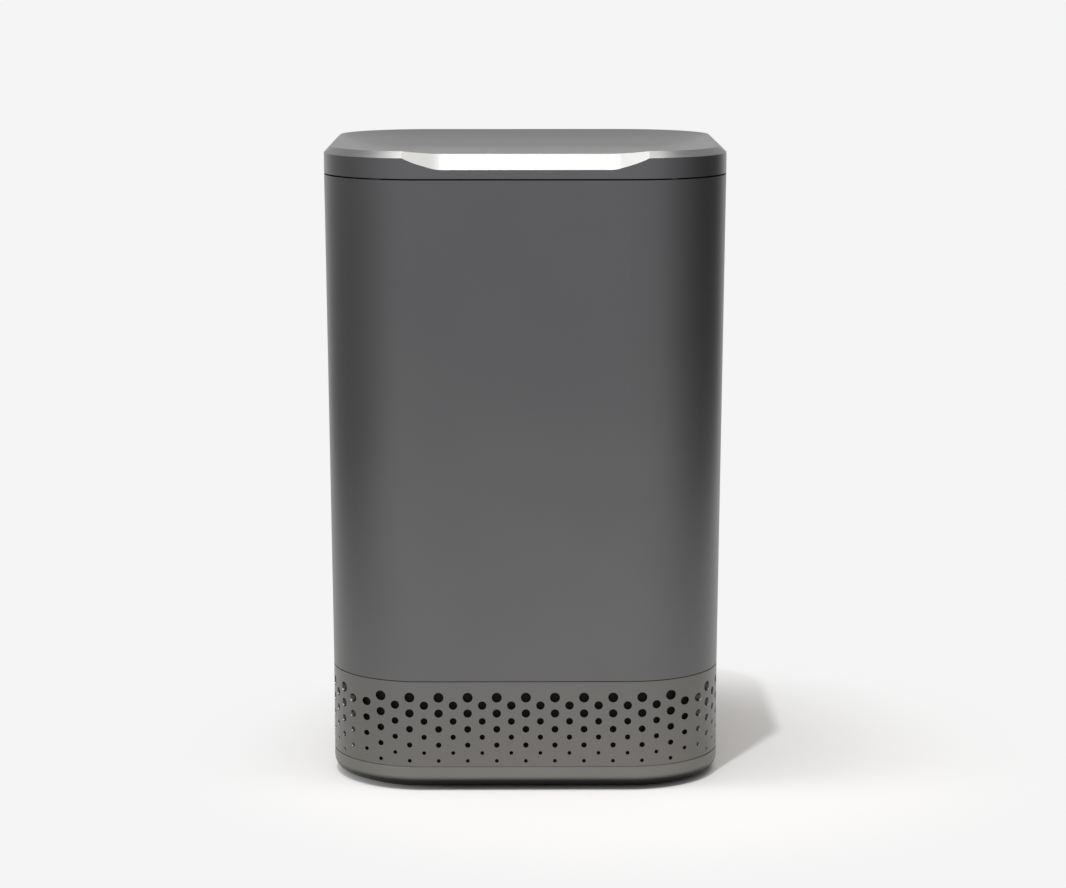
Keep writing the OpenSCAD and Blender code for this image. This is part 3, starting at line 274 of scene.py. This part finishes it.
# Machined cast aluminium has a soft, slightly warm sheen. The cutter's marks, 0.2 mm apart, are
# drawn at 0.9 mm to show.
plinth, tree, shader, tone = finish(
    "machined_die_cast_aluminium_and_painted_shade", "#797872", "#7f7e79", patch=30, grit=0.9, depth=0.004,
    rough=0.4, spread=0.03, Metallic=1.0)
# Below the undercut's height and deeper than the outer face, the colour turns near black: painted
# shade.
place = add(tree, "ShaderNodeTexCoord")
split = add(tree, "ShaderNodeSeparateXYZ", Vector=place.outputs["Object"])
edge = add(tree, "ShaderNodeMapRange", interpolation_type="SMOOTHSTEP", Value=split.outputs["Z"],
           From_Min=UNDERCUT_SHADE_Z[0] * MM, From_Max=UNDERCUT_SHADE_Z[1] * MM)
unshaded_face = add(tree, "ShaderNodeMath", operation="MULTIPLY", i0=edge.outputs["Result"],
                i1=painted_shade_depth_mask(tree, *PLINTH_SHADE_DEPTHS))
plinth_painted_shade = add(tree, "ShaderNodeMix", data_type="RGBA", Factor=unshaded_face.outputs["Value"],
             i6=linear("#2b2b2c"), i7=tone)
tree.links.new(plinth_painted_shade.outputs[2], shader.inputs["Base Color"])
dress(plinth, "base_plate")

# Moulded rubber is dull and nearly black. Its 0.2 mm mould texture is drawn at 0.6 mm.
rubber = finish("moulded_rubber", "#161616", "#222222", patch=6, grit=0.6, depth=0.02,
                rough=0.82, spread=0.06, IOR=1.52)[0]
dress(rubber, "foot_ring")

# Screws
# Pan-head screws with a six-lobe recess and a coarse thread for plastic, headed and rolled from
# steel wire and zinc plated. They stand where the plain screws of the solid model do.
HEAD_R, HEAD_H, SHANK_R = 3.0, 1.3, 1.5
HEAD_PROFILE = [(SHANK_R, 0), (HEAD_R, 0), (HEAD_R, 0.55), (2.85, 0.9), (2.4, 1.2), (1.9, HEAD_H)]
RECESS_R, RECESS_LOBE, RECESS_DEPTH = 1.12, 0.2, 0.85
THREAD_H = 0.32
CORE_R = SHANK_R - THREAD_H
NECK, POINT, POINT_SHARE = 0.4, 0.7, 0.55
# The thread: its pitch, half width and foot's depth in the core, where it starts below the head,
# and how much of the shank is left without it
PITCH, FLANK, ROOT, THREAD_FROM, THREAD_LEFT = 1.1, 0.3, 0.1, 0.6, 1.2
# Points round a ring, the thread's steps in a turn, and those over which its crest rises
ROUND, TURN_STEPS, RUN_IN = 36, 16, 8
WELD_GAP = 1e-6
SHARP_EDGE = math.radians(35)

# Zinc plate gives a cool, bright gleam. Its crystals of about 0.1 mm are drawn at 0.4 mm.
zinc = finish("zinc_plated_steel", "#a9adb1", "#c6c9cb", patch=3, grit=0.4, depth=0.003,
              rough=0.3, spread=0.06, Metallic=1.0)[0]


def ring(bm, radius, height):
    """A closed ring of vertices; the radius is a number or a function of the angle."""
    angles = [2 * math.pi * i / ROUND for i in range(ROUND)]
    radii = [radius(a) if callable(radius) else radius for a in angles]
    return [bm.verts.new((r * math.cos(a), r * math.sin(a), height)) for a, r in zip(angles, radii)]


def skin(bm, rings):
    """Joins rings of vertices, from the lowest to the next, by quads."""
    for low, high in zip(rings, rings[1:]):
        for i in range(len(low)):
            j = (i + 1) % len(low)
            bm.faces.new((low[i], low[j], high[j], high[i]))


def six_lobes(angle):
    """The radius of the driver recess."""
    return RECESS_R + RECESS_LOBE * math.cos(6 * angle)


def screw_mesh(length):
    """One screw in millimetres: its head stands above zero and its shank hangs below."""
    bm = bmesh.new()
    rings = [ring(bm, CORE_R * POINT_SHARE, -length), ring(bm, CORE_R, POINT - length),
             ring(bm, CORE_R, -NECK), ring(bm, SHANK_R, 0)]
    rings += [ring(bm, r, z) for r, z in HEAD_PROFILE[1:]]
    rings += [ring(bm, six_lobes, HEAD_H), ring(bm, six_lobes, HEAD_H - RECESS_DEPTH)]
    skin(bm, rings)
    bm.faces.new(list(reversed(rings[0])))
    bm.faces.new(rings[-1])
    steps = int((length - THREAD_LEFT) / PITCH * TURN_STEPS)
    sections = []
    for i in range(steps + 1):
        a, z = 2 * math.pi * i / TURN_STEPS, -THREAD_FROM - PITCH * i / TURN_STEPS
        crest = CORE_R + (SHANK_R - CORE_R) * min(1, i / RUN_IN, (steps - i) / RUN_IN)
        sections.append([bm.verts.new((r * math.cos(a), r * math.sin(a), z + dz)) for r, dz in
                         ((CORE_R - ROOT, -FLANK), (crest, 0), (CORE_R - ROOT, FLANK))])
    skin(bm, sections)
    bm.faces.new(sections[0])
    bm.faces.new(list(reversed(sections[-1])))
    bmesh.ops.recalc_face_normals(bm, faces=bm.faces)
    return bm


def islands(name):
    """The boxes of the loose solids of a CAD node, in metres."""
    bm = bmesh.new()
    bm.from_mesh(nodes[name].data)
    bmesh.ops.remove_doubles(bm, verts=bm.verts, dist=WELD_GAP)
    left, boxes = set(bm.verts), []
    while left:
        queue, found = [left.pop()], []
        while queue:
            vertex = queue.pop()
            found.append(vertex.co.copy())
            for other in (edge.other_vert(vertex) for edge in vertex.link_edges):
                if other in left:
                    left.remove(other)
                    queue.append(other)
        boxes.append([[pick(c[i] for c in found) for i in range(3)] for pick in (min, max)])
    bm.free()
    return sorted(boxes)


def screws(name, piece_name, body, head_up):
    """Detailed screws in place of a CAD node's plain ones."""
    bm = bmesh.new()
    for low, high in islands(name):
        length = (high[2] - low[2]) / MM - HEAD_H
        one = screw_mesh(length)
        seat = high[2] - HEAD_H * MM if head_up else low[2] + HEAD_H * MM
        turn = Matrix() if head_up else Matrix.Rotation(math.pi, 4, "X")
        middle = ((low[0] + high[0]) / 2, (low[1] + high[1]) / 2, seat)
        one.transform(Matrix.Translation(middle) @ turn @ Matrix.Scale(MM, 4))
        whole = bpy.data.meshes.new("screw")
        one.to_mesh(whole)
        one.free()
        bm.from_mesh(whole)
        bpy.data.meshes.remove(whole)
    mesh = bpy.data.meshes.new(piece_name)
    bm.to_mesh(mesh)
    bm.free()
    mesh.materials.append(zinc)
    piece = bpy.data.objects.new(piece_name, mesh)
    bpy.context.scene.collection.objects.link(piece)
    mesh.shade_smooth()
    mesh.set_sharp_from_angle(angle=SHARP_EDGE)
    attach(piece, body)
    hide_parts(name)


screws("base_screws", "plinth_screws", "housing", head_up=False)

# Boards
# Two glass-epoxy boards on the floor of the base, and a small one for the button's switch in the
# lid. Parts are soldered on above the green solder mask, each in the colour of its own case.
# Height of the boards' upper side, and a margin round the parts
BOARD_TOP = 9.9
PART_MARGIN = 0.2
# Middle and half size in plan, colour of the case, and whether it is metal
FITTED_PARTS = [
    ((-52, -60), (15, 14), "#b8922c", 0.0),       # transformer in yellow tape
    ((-26, -57), (7, 16), "#24406b", 0.0),        # two blue capacitors
    ((-48, -21.5), (13, 12.5), "#a9acae", 1.0),   # aluminium cooling plates
    ((-20, -25), (6, 11), "#1f1f21", 0.0),        # relay
    ((34, -47), (7, 7), "#1a1a1c", 0.0),          # controller chip
    ((37, -22.5), (18.5, 3.5), "#242427", 0.0),   # row of transistors
    ((58, -51), (4, 17), "#d9d5c8", 0.0),         # white plug strip
    ((21.5, -66), (6.1, 2.6), "#2f2b45", 0.0)]    # two small capacitors

# Solder mask is a deep green gloss, and the 1.6 mm pitch of the tracks below it makes it uneven.
# Where the mask's node also carries metal parts, the IOR stays at its default.
small_board = finish("solder_masked_board", "#1b5236", "#22603f", patch=4, grit=1.6, depth=0.02,
                     rough=0.34, spread=0.08, IOR=1.55)[0]
dress(small_board, "button_board")
board, tree, shader, tone = finish(
    "fitted_solder_masked_board", "#1b5236", "#22603f", patch=4, grit=1.6, depth=0.02,
    rough=0.34, spread=0.08)
place = add(tree, "ShaderNodeTexCoord")
split = add(tree, "ShaderNodeSeparateXYZ", Vector=place.outputs["Object"])
above = add(tree, "ShaderNodeMath", operation="GREATER_THAN", i0=split.outputs["Z"],
            i1=(BOARD_TOP + PART_MARGIN) * MM)
colour, metal = tone, 0.0
for middle, half, case, metallic in FITTED_PARTS:
    moved = add(tree, "ShaderNodeVectorMath", operation="SUBTRACT", i0=place.outputs["Object"],
                i1=(middle[0] * MM, middle[1] * MM, 0))
    folded = add(tree, "ShaderNodeVectorMath", operation="ABSOLUTE", i0=moved.outputs["Vector"])
    sides = add(tree, "ShaderNodeSeparateXYZ", Vector=folded.outputs["Vector"])
    in_x, in_y = [add(tree, "ShaderNodeMath", operation="LESS_THAN", i0=sides.outputs[axis],
                      i1=(size + PART_MARGIN) * MM) for axis, size in zip("XY", half)]
    in_plan = add(tree, "ShaderNodeMath", operation="MULTIPLY", i0=in_x.outputs["Value"],
                  i1=in_y.outputs["Value"])
    inside = add(tree, "ShaderNodeMath", operation="MULTIPLY", i0=in_plan.outputs["Value"],
                 i1=above.outputs["Value"])
    colour = add(tree, "ShaderNodeMix", data_type="RGBA", Factor=inside.outputs["Value"],
                 i6=colour, i7=linear(case)).outputs[2]
    metal = add(tree, "ShaderNodeMix", data_type="FLOAT", Factor=inside.outputs["Value"],
                i2=metal, i3=metallic).outputs["Result"]
tree.links.new(colour, shader.inputs["Base Color"])
tree.links.new(metal, shader.inputs["Metallic"])
dress(board, "power_board", "control_board")

# Chassis, duct and filter bay
# Mouldings in glass-filled nylon that fit into each other. The rods, which clamp the sleeve
# between chassis and deck, and their nuts are zinc-plated steel.

# Glass-filled nylon is satin black, faintly streaked by its 0.5 mm bundles of fibre.
nylon = finish("glass_filled_nylon", "#232427", "#2c2d30", patch=18, grit=0.5, depth=0.014,
               rough=0.5, spread=0.07, stretch=(1, 1, 3), IOR=1.53)[0]
dress(nylon, "chassis_frame", "air_duct", "filter_bay")
dress(zinc, "tie_rods", "tie_nuts")

# Exhaust fan
# Frame and impeller are moulded in black polyester. The impeller turns on a pin in the frame,
# which hangs below the chassis on screws.

# Polyester from a smooth mould catches a soft gleam, over sink marks of 0.8 mm.
polyester = finish("moulded_black_polyester", "#1d1e20", "#242528", patch=12, grit=0.8,
                   depth=0.004, rough=0.36, spread=0.04, IOR=1.57)[0]
dress(polyester, "fan_frame", "fan_impeller")
screws("fan_screws", "fan_mount_screws", "housing", head_up=False)

# Gearbox
# Two moulded halves in glass-filled nylon, screwed through to the chassis, with oil-filled bronze
# bearings pressed in. The motor can below is drawn steel.

# This nylon holds more glass, so it is greyer and rougher than the chassis; fibres of 0.45 mm.
charcoal = finish("charcoal_glass_filled_nylon", "#313438", "#3c3f43", patch=14, grit=0.45,
                  depth=0.016, rough=0.52, spread=0.07, stretch=(1, 3, 1), IOR=1.53)[0]
dress(charcoal, "gearbox_base", "gearbox_cover")
screws("gearbox_screws", "gear_case_screws", "housing", head_up=True)
# Dipped enamel stays wet-looking, with runs 2.5 mm wide.
enamel = finish("dipped_enamel", "#34373b", "#3f4246", patch=16, grit=2.5, depth=0.01,
                rough=0.26, spread=0.05, IOR=1.5, Coat_Weight=0.4)[0]
dress(enamel, "drive_motor")
# Sintered bronze is warm and dull from its pores, 0.1 mm wide and drawn at 0.35 mm.
bronze = finish("sintered_bronze", "#9a7430", "#c9a04c", patch=1.2, grit=0.35, depth=0.03,
                rough=0.42, spread=0.1, Metallic=1.0)[0]
dress(bronze, "shaft_bearings", "bucket_bush")

# Gears and shafts
# The wheels are moulded in acetal with their hubs; pinion, axle and shaft are turned and ground
# from steel bar, like the hinge's pin.

# Natural acetal is creamy and faintly waxy, because light goes a little way in; ripple 0.7 mm.
acetal = finish("natural_acetal", "#e5dfcd", "#f0ebdc", patch=8, grit=0.7, depth=0.004,
                rough=0.38, spread=0.05, IOR=1.48, Subsurface_Weight=0.15,
                Subsurface_Scale=0.002)[0]
dress(acetal, "compound_gear", "drive_gear")
# Ground steel is bright, with marks round the shaft, 0.02 mm apart and drawn at 0.17 mm.
ground = finish("ground_steel", "#b4b8bb", "#c8ccce", patch=5, grit=2.0, depth=0.002,
                rough=0.22, spread=0.06, stretch=(1, 1, 12), Metallic=1.0)[0]
dress(ground, "compound_axle", "motor_pinion", "drive_shaft", "hinge_pin")

# Well and heater
# The well is spun from aluminium sheet. A cast heating ring is clamped under its floor on a pad
# of ceramic felt, a thermostat clips onto its wall, and soft seals close its rim and the shaft.

# Spun aluminium shows the roller's feed as pale rings, 0.33 mm apart.
spun = finish("spun_aluminium", "#a4a6a8", "#b2b4b6", patch=25, grit=3.0, depth=0.006,
              rough=0.34, spread=0.06, stretch=(1, 1, 9), Metallic=1.0)[0]
dress(spun, "bucket_well")
# Sand-cast aluminium is grey and dull, with the sand's 0.3 mm grain drawn at 0.9 mm.
cast_ring = finish("sand_cast_aluminium", "#83868a", "#989b9e", patch=7, grit=0.9, depth=0.06,
                   rough=0.58, spread=0.08, Metallic=1.0)[0]
dress(cast_ring, "heater_ring")
# Needled ceramic felt is chalky and soft, in tufts of 0.7 mm that lie in layers.
felt = finish("ceramic_felt", "#dcd7ca", "#efebe0", patch=3, grit=0.7, depth=0.25,
              rough=0.95, spread=0.04, stretch=(1, 1, 2.5), IOR=1.45, Sheen_Weight=0.3)[0]
dress(felt, "insulation_pad")
# Glazed steatite is ivory under a hard gloss, whose waves are 1.5 mm wide.
steatite = finish("glazed_steatite", "#cfcbc0", "#dbd8ce", patch=6, grit=1.5, depth=0.004,
                  rough=0.2, spread=0.05, IOR=1.55)[0]
dress(steatite, "thermostat")
# Moulded silicone is oxide red with a soft satin skin, rippled at 0.8 mm.
silicone = finish("moulded_silicone", "#7a201b", "#8c2a24", patch=9, grit=0.8, depth=0.006,
                  rough=0.5, spread=0.06, IOR=1.41, Subsurface_Weight=0.1,
                  Subsurface_Scale=0.001)[0]
dress(silicone, "well_seal", "drawer_seal", "lid_gasket")
# Nitrile rubber is a dull brownish black with a grain of 0.5 mm.
nitrile = finish("nitrile_rubber", "#1a1413", "#241a18", patch=5, grit=0.5, depth=0.01,
                 rough=0.62, spread=0.06, IOR=1.52)[0]
dress(nitrile, "shaft_seal")

# Dust screen
# A strip of open-cell foam, cut from sheet and tucked behind the perforated band, where it keeps
# dust out of the fan's air.

# Its cells, 1.2 mm wide, swallow the light, so the holes of the band look black.
foam = finish("open_cell_foam", "#050505", "#0b0b0b", patch=2, grit=1.2, depth=0.3,
              rough=0.95, spread=0.04, IOR=1.5)[0]
dress(foam, "dust_screen")

# Band
# A perforated ring of aluminium, blasted and anodised graphite, a shade warmer and lighter than
# the sleeve. The walls of its drilled holes are painted darker, as painted shade in the holes.
BAND_SHADE_DEPTHS = (0.12, 0.5)

# Blasting gives an even, soft sheen. The beads' pits of 0.1 mm are drawn at 0.9 mm to show.
band, tree, shader, tone = finish(
    "graphite_anodised_band_and_painted_hole_shade", "#716f6c", "#777572", patch=45, grit=0.9, depth=0.006,
    rough=0.36, spread=0.03, Metallic=1.0)
# Deeper than the outer face, the drilled walls turn darker: painted shade.
hole_wall_shade = add(tree, "ShaderNodeMix", data_type="RGBA", Factor=painted_shade_depth_mask(tree, *BAND_SHADE_DEPTHS),
           i6=linear("#454443"), i7=tone)
tree.links.new(hole_wall_shade.outputs[2], shader.inputs["Base Color"])
dress(band, "vent_ring")

# Sleeve
# A tube drawn from aluminium with a slight taper, blasted and anodised graphite, and clamped
# between chassis and deck. The filter drawer's front is cut from the same tube.
SLEEVE_FINISH = dict(
    dark="#6a6969", pale="#6f6e6d", patch=45, grit=2.4, depth=0.005, rough=0.36, spread=0.035,
    stretch=(1, 1, 6), Metallic=1.0)

# Under the even sheen lie very faint level lines, about 0.13 mm apart and drawn at 0.4 mm.
sleeve = finish("graphite_anodised_sleeve", **SLEEVE_FINISH)[0]
dress(sleeve, "outer_sleeve")

# Filter drawer
# Its front is a piece of the sleeve's skin with a finger slot. The tray behind is moulded in
# black plastic and carries two canisters of pressed paper pulp full of carbon.
FRONT_INNER_Y = 97.4
TRAY_PATCH = 18

# The front has the sleeve's sheen, and the moulded tray is satin black with broad flow marks.
front, tree, shader, tone = finish("graphite_anodised_front_on_black_tray", **SLEEVE_FINISH)
place = add(tree, "ShaderNodeTexCoord")
split = add(tree, "ShaderNodeSeparateXYZ", Vector=place.outputs["Object"])
skin_side = add(tree, "ShaderNodeMath", operation="GREATER_THAN", i0=split.outputs["Y"],
                i1=FRONT_INNER_Y * MM)
flow = add(tree, "ShaderNodeTexNoise", Vector=place.outputs["Object"],
           Scale=1 / (TRAY_PATCH * MM))
tray = add(tree, "ShaderNodeMix", data_type="RGBA", Factor=flow.outputs["Fac"],
           i6=linear("#232427"), i7=linear("#2c2d30"))
both = add(tree, "ShaderNodeMix", data_type="RGBA", Factor=skin_side.outputs["Value"],
           i6=tray.outputs[2], i7=tone)
tree.links.new(both.outputs[2], shader.inputs["Base Color"])
tree.links.new(skin_side.outputs["Value"], shader.inputs["Metallic"])
dress(front, "filter_drawer")
# Pressed pulp is oatmeal and quite matt, with fibres of 0.8 mm on its face.
pulp = finish("pressed_paper_pulp", "#bdb7a6", "#d3cdbd", patch=2.5, grit=0.8, depth=0.08,
              rough=0.88, spread=0.06, IOR=1.5)[0]
dress(pulp, "filter_canisters")

# Mains socket and switch
# One polycarbonate moulding in a window of the sleeve holds three pins and a rocker. The pins are
# nickel plated, like the magnets of deck and lid.

# A textured mould leaves the polycarbonate satin. Its 0.1 mm texture is drawn at 0.5 mm.
polycarbonate = finish("black_polycarbonate", "#151618", "#1b1c1e", patch=10, grit=0.5,
                       depth=0.008, rough=0.4, spread=0.05, IOR=1.585)[0]
dress(polycarbonate, "power_module")
# A polished mould gives the rocker a clear dark gloss, with waves of 3 mm.
rocker = finish("polished_black_plastic", "#141517", "#191a1c", patch=10, grit=3.0, depth=0.002,
                rough=0.14, spread=0.03, IOR=1.54)[0]
dress(rocker, "rocker_switch")
# Nickel plate is bright and a little warm; the draw marks below it are 0.6 mm apart.
nickel = finish("nickel_plate", "#b9b4a6", "#c9c4b8", patch=4, grit=0.6, depth=0.002,
                rough=0.2, spread=0.05, Metallic=1.0)[0]
dress(nickel, "inlet_pins", "deck_magnets", "lid_magnets")

# Deck
# The frame round the well's mouth, moulded in flame-retardant plastic. It carries two magnets that
# hold the lid shut, and below it the potted sensor that feels the lid's own.

# The mould was spark eroded, which keeps the plastic matt. Pits of 0.15 mm are drawn at 0.45 mm.
deck = finish("textured_black_plastic", "#1e1f21", "#26272a", patch=20, grit=0.45, depth=0.03,
              rough=0.58, spread=0.07, IOR=1.53)[0]
dress(deck, "top_deck")
# Potting epoxy sets to a blue gloss, with a ripple of 0.6 mm.
epoxy = finish("potting_epoxy", "#254a72", "#2f5682", patch=5, grit=0.6, depth=0.004,
               rough=0.3, spread=0.05, IOR=1.55)[0]
dress(epoxy, "lid_sensor")

# Bucket
# Cast aluminium under a sprayed non-stick coat, with two phenolic grips riveted in below the rim
# and a bronze bush in its floor.
SPECK_CELL = 1.6
SPECK_EDGE = (0.16, 0.22)

# The coat is dark satin with a peel of 0.7 mm, and full of pale specks, which are 0.3 mm wide and
# drawn at 0.6 mm.
coat, tree, shader, tone = finish(
    "speckled_non_stick_coat", "#303235", "#3a3c3f", patch=12, grit=0.7, depth=0.01,
    rough=0.38, spread=0.06, Metallic=0.2, IOR=1.4)
place = add(tree, "ShaderNodeTexCoord")
cells = add(tree, "ShaderNodeTexVoronoi", Vector=place.outputs["Object"],
            Scale=1 / (SPECK_CELL * MM))
speck = add(tree, "ShaderNodeMapRange", Value=cells.outputs["Distance"],
            From_Min=SPECK_EDGE[0], From_Max=SPECK_EDGE[1], To_Min=1.0, To_Max=0.0)
specked = add(tree, "ShaderNodeMix", data_type="RGBA", Factor=speck.outputs["Result"],
              i6=tone, i7=linear("#8d8f92"))
tree.links.new(specked.outputs[2], shader.inputs["Base Color"])
dress(coat, "bucket")
# Moulded phenolic is hard and black with a quiet gloss; flow marks of 0.7 mm.
phenolic = finish("moulded_phenolic", "#191a1b", "#212224", patch=7, grit=0.7, depth=0.005,
                  rough=0.32, spread=0.05, IOR=1.6)[0]
dress(phenolic, "bucket_grips")

# Agitator, breaker bars and dog
# Investment-cast stainless steel, tumbled until the edges are round. The agitator drops onto the
# dog, and the bars are fixed to the bucket's wall.
WORN_EDGE = 0.7
WORN_ANGLE = math.radians(30)

# Tumbling leaves a soft peel of 1.1 mm and edges that shine.
stainless = finish("tumbled_cast_stainless", "#8b8e91", "#a3a6a9", patch=9, grit=1.1, depth=0.03,
                   rough=0.34, spread=0.08, Metallic=1.0)[0]
dress(stainless, "agitator", "breaker_bars", "drive_dog")
weld = nodes["agitator"].modifiers.new("weld", "WELD")
weld.merge_threshold = WELD_GAP
bevel = nodes["agitator"].modifiers.new("broken_edges", "BEVEL")
bevel.width = WORN_EDGE * MM
bevel.segments = 2
bevel.limit_method = "ANGLE"
bevel.angle_limit = WORN_ANGLE
bevel.harden_normals = True

# Hinge
# Bracket and leaf are pressed from steel and curled round a ground pin. Zinc-plated screws hold
# the one to the deck and the other to the lid.

# Electro-coat is a thin satin black with a peel of 0.9 mm.
ecoat = finish("black_electro_coated_steel", "#1f2022", "#2a2b2d", patch=9, grit=0.9,
               depth=0.008, rough=0.4, spread=0.06, IOR=1.55)[0]
dress(ecoat, "hinge_bracket", "lid_hinge_leaf")
screws("hinge_screws", "bracket_screws", "housing", head_up=True)
screws("leaf_screws", "lid_leaf_screws", "lid", head_up=False)

# Lid
# Die-cast and machined aluminium with a chamfered rim, a dished top and a scoop milled into its
# front edge. A plastic liner with a silicone gasket is screwed in below.

# The blasted and anodised skin is as even as the band's. Its 0.1 mm pits are drawn at 0.9 mm.
lid = finish("graphite_anodised_lid", "#6c6c6c", "#717170", patch=45, grit=0.9, depth=0.006,
             rough=0.33, spread=0.03, Metallic=1.0)[0]
dress(lid, "lid_shell")
# The liner is matt like the deck, and a shade greyer. Pits of 0.15 mm are drawn at 0.45 mm.
liner = finish("textured_liner_plastic", "#2a2c2f", "#323437", patch=20, grit=0.45, depth=0.02,
               rough=0.5, spread=0.06, IOR=1.53)[0]
dress(liner, "lid_liner")
screws("liner_screws", "lid_liner_screws", "lid", head_up=False)

# Button
# A turned aluminium cap, flush in the middle of the dish, in a ring of smoked acrylic that hides
# its lamps while they are off.

# The cap has the lid's anodised sheen. Its turning marks of 0.2 mm are drawn at 0.7 mm.
cap = finish("graphite_anodised_cap", "#6b6b6b", "#70706f", patch=20, grit=0.7, depth=0.004,
             rough=0.34, spread=0.03, Metallic=1.0)[0]
dress(cap, "start_button")
# Smoked acrylic has a flat, clear gloss, with polishing waves of 1 mm.
acrylic = finish("smoked_acrylic", "#48484b", "#4f4f52", patch=20, grit=1.0, depth=0.001,
                 rough=0.16, spread=0.03, IOR=1.49)[0]
dress(acrylic, "light_ring")
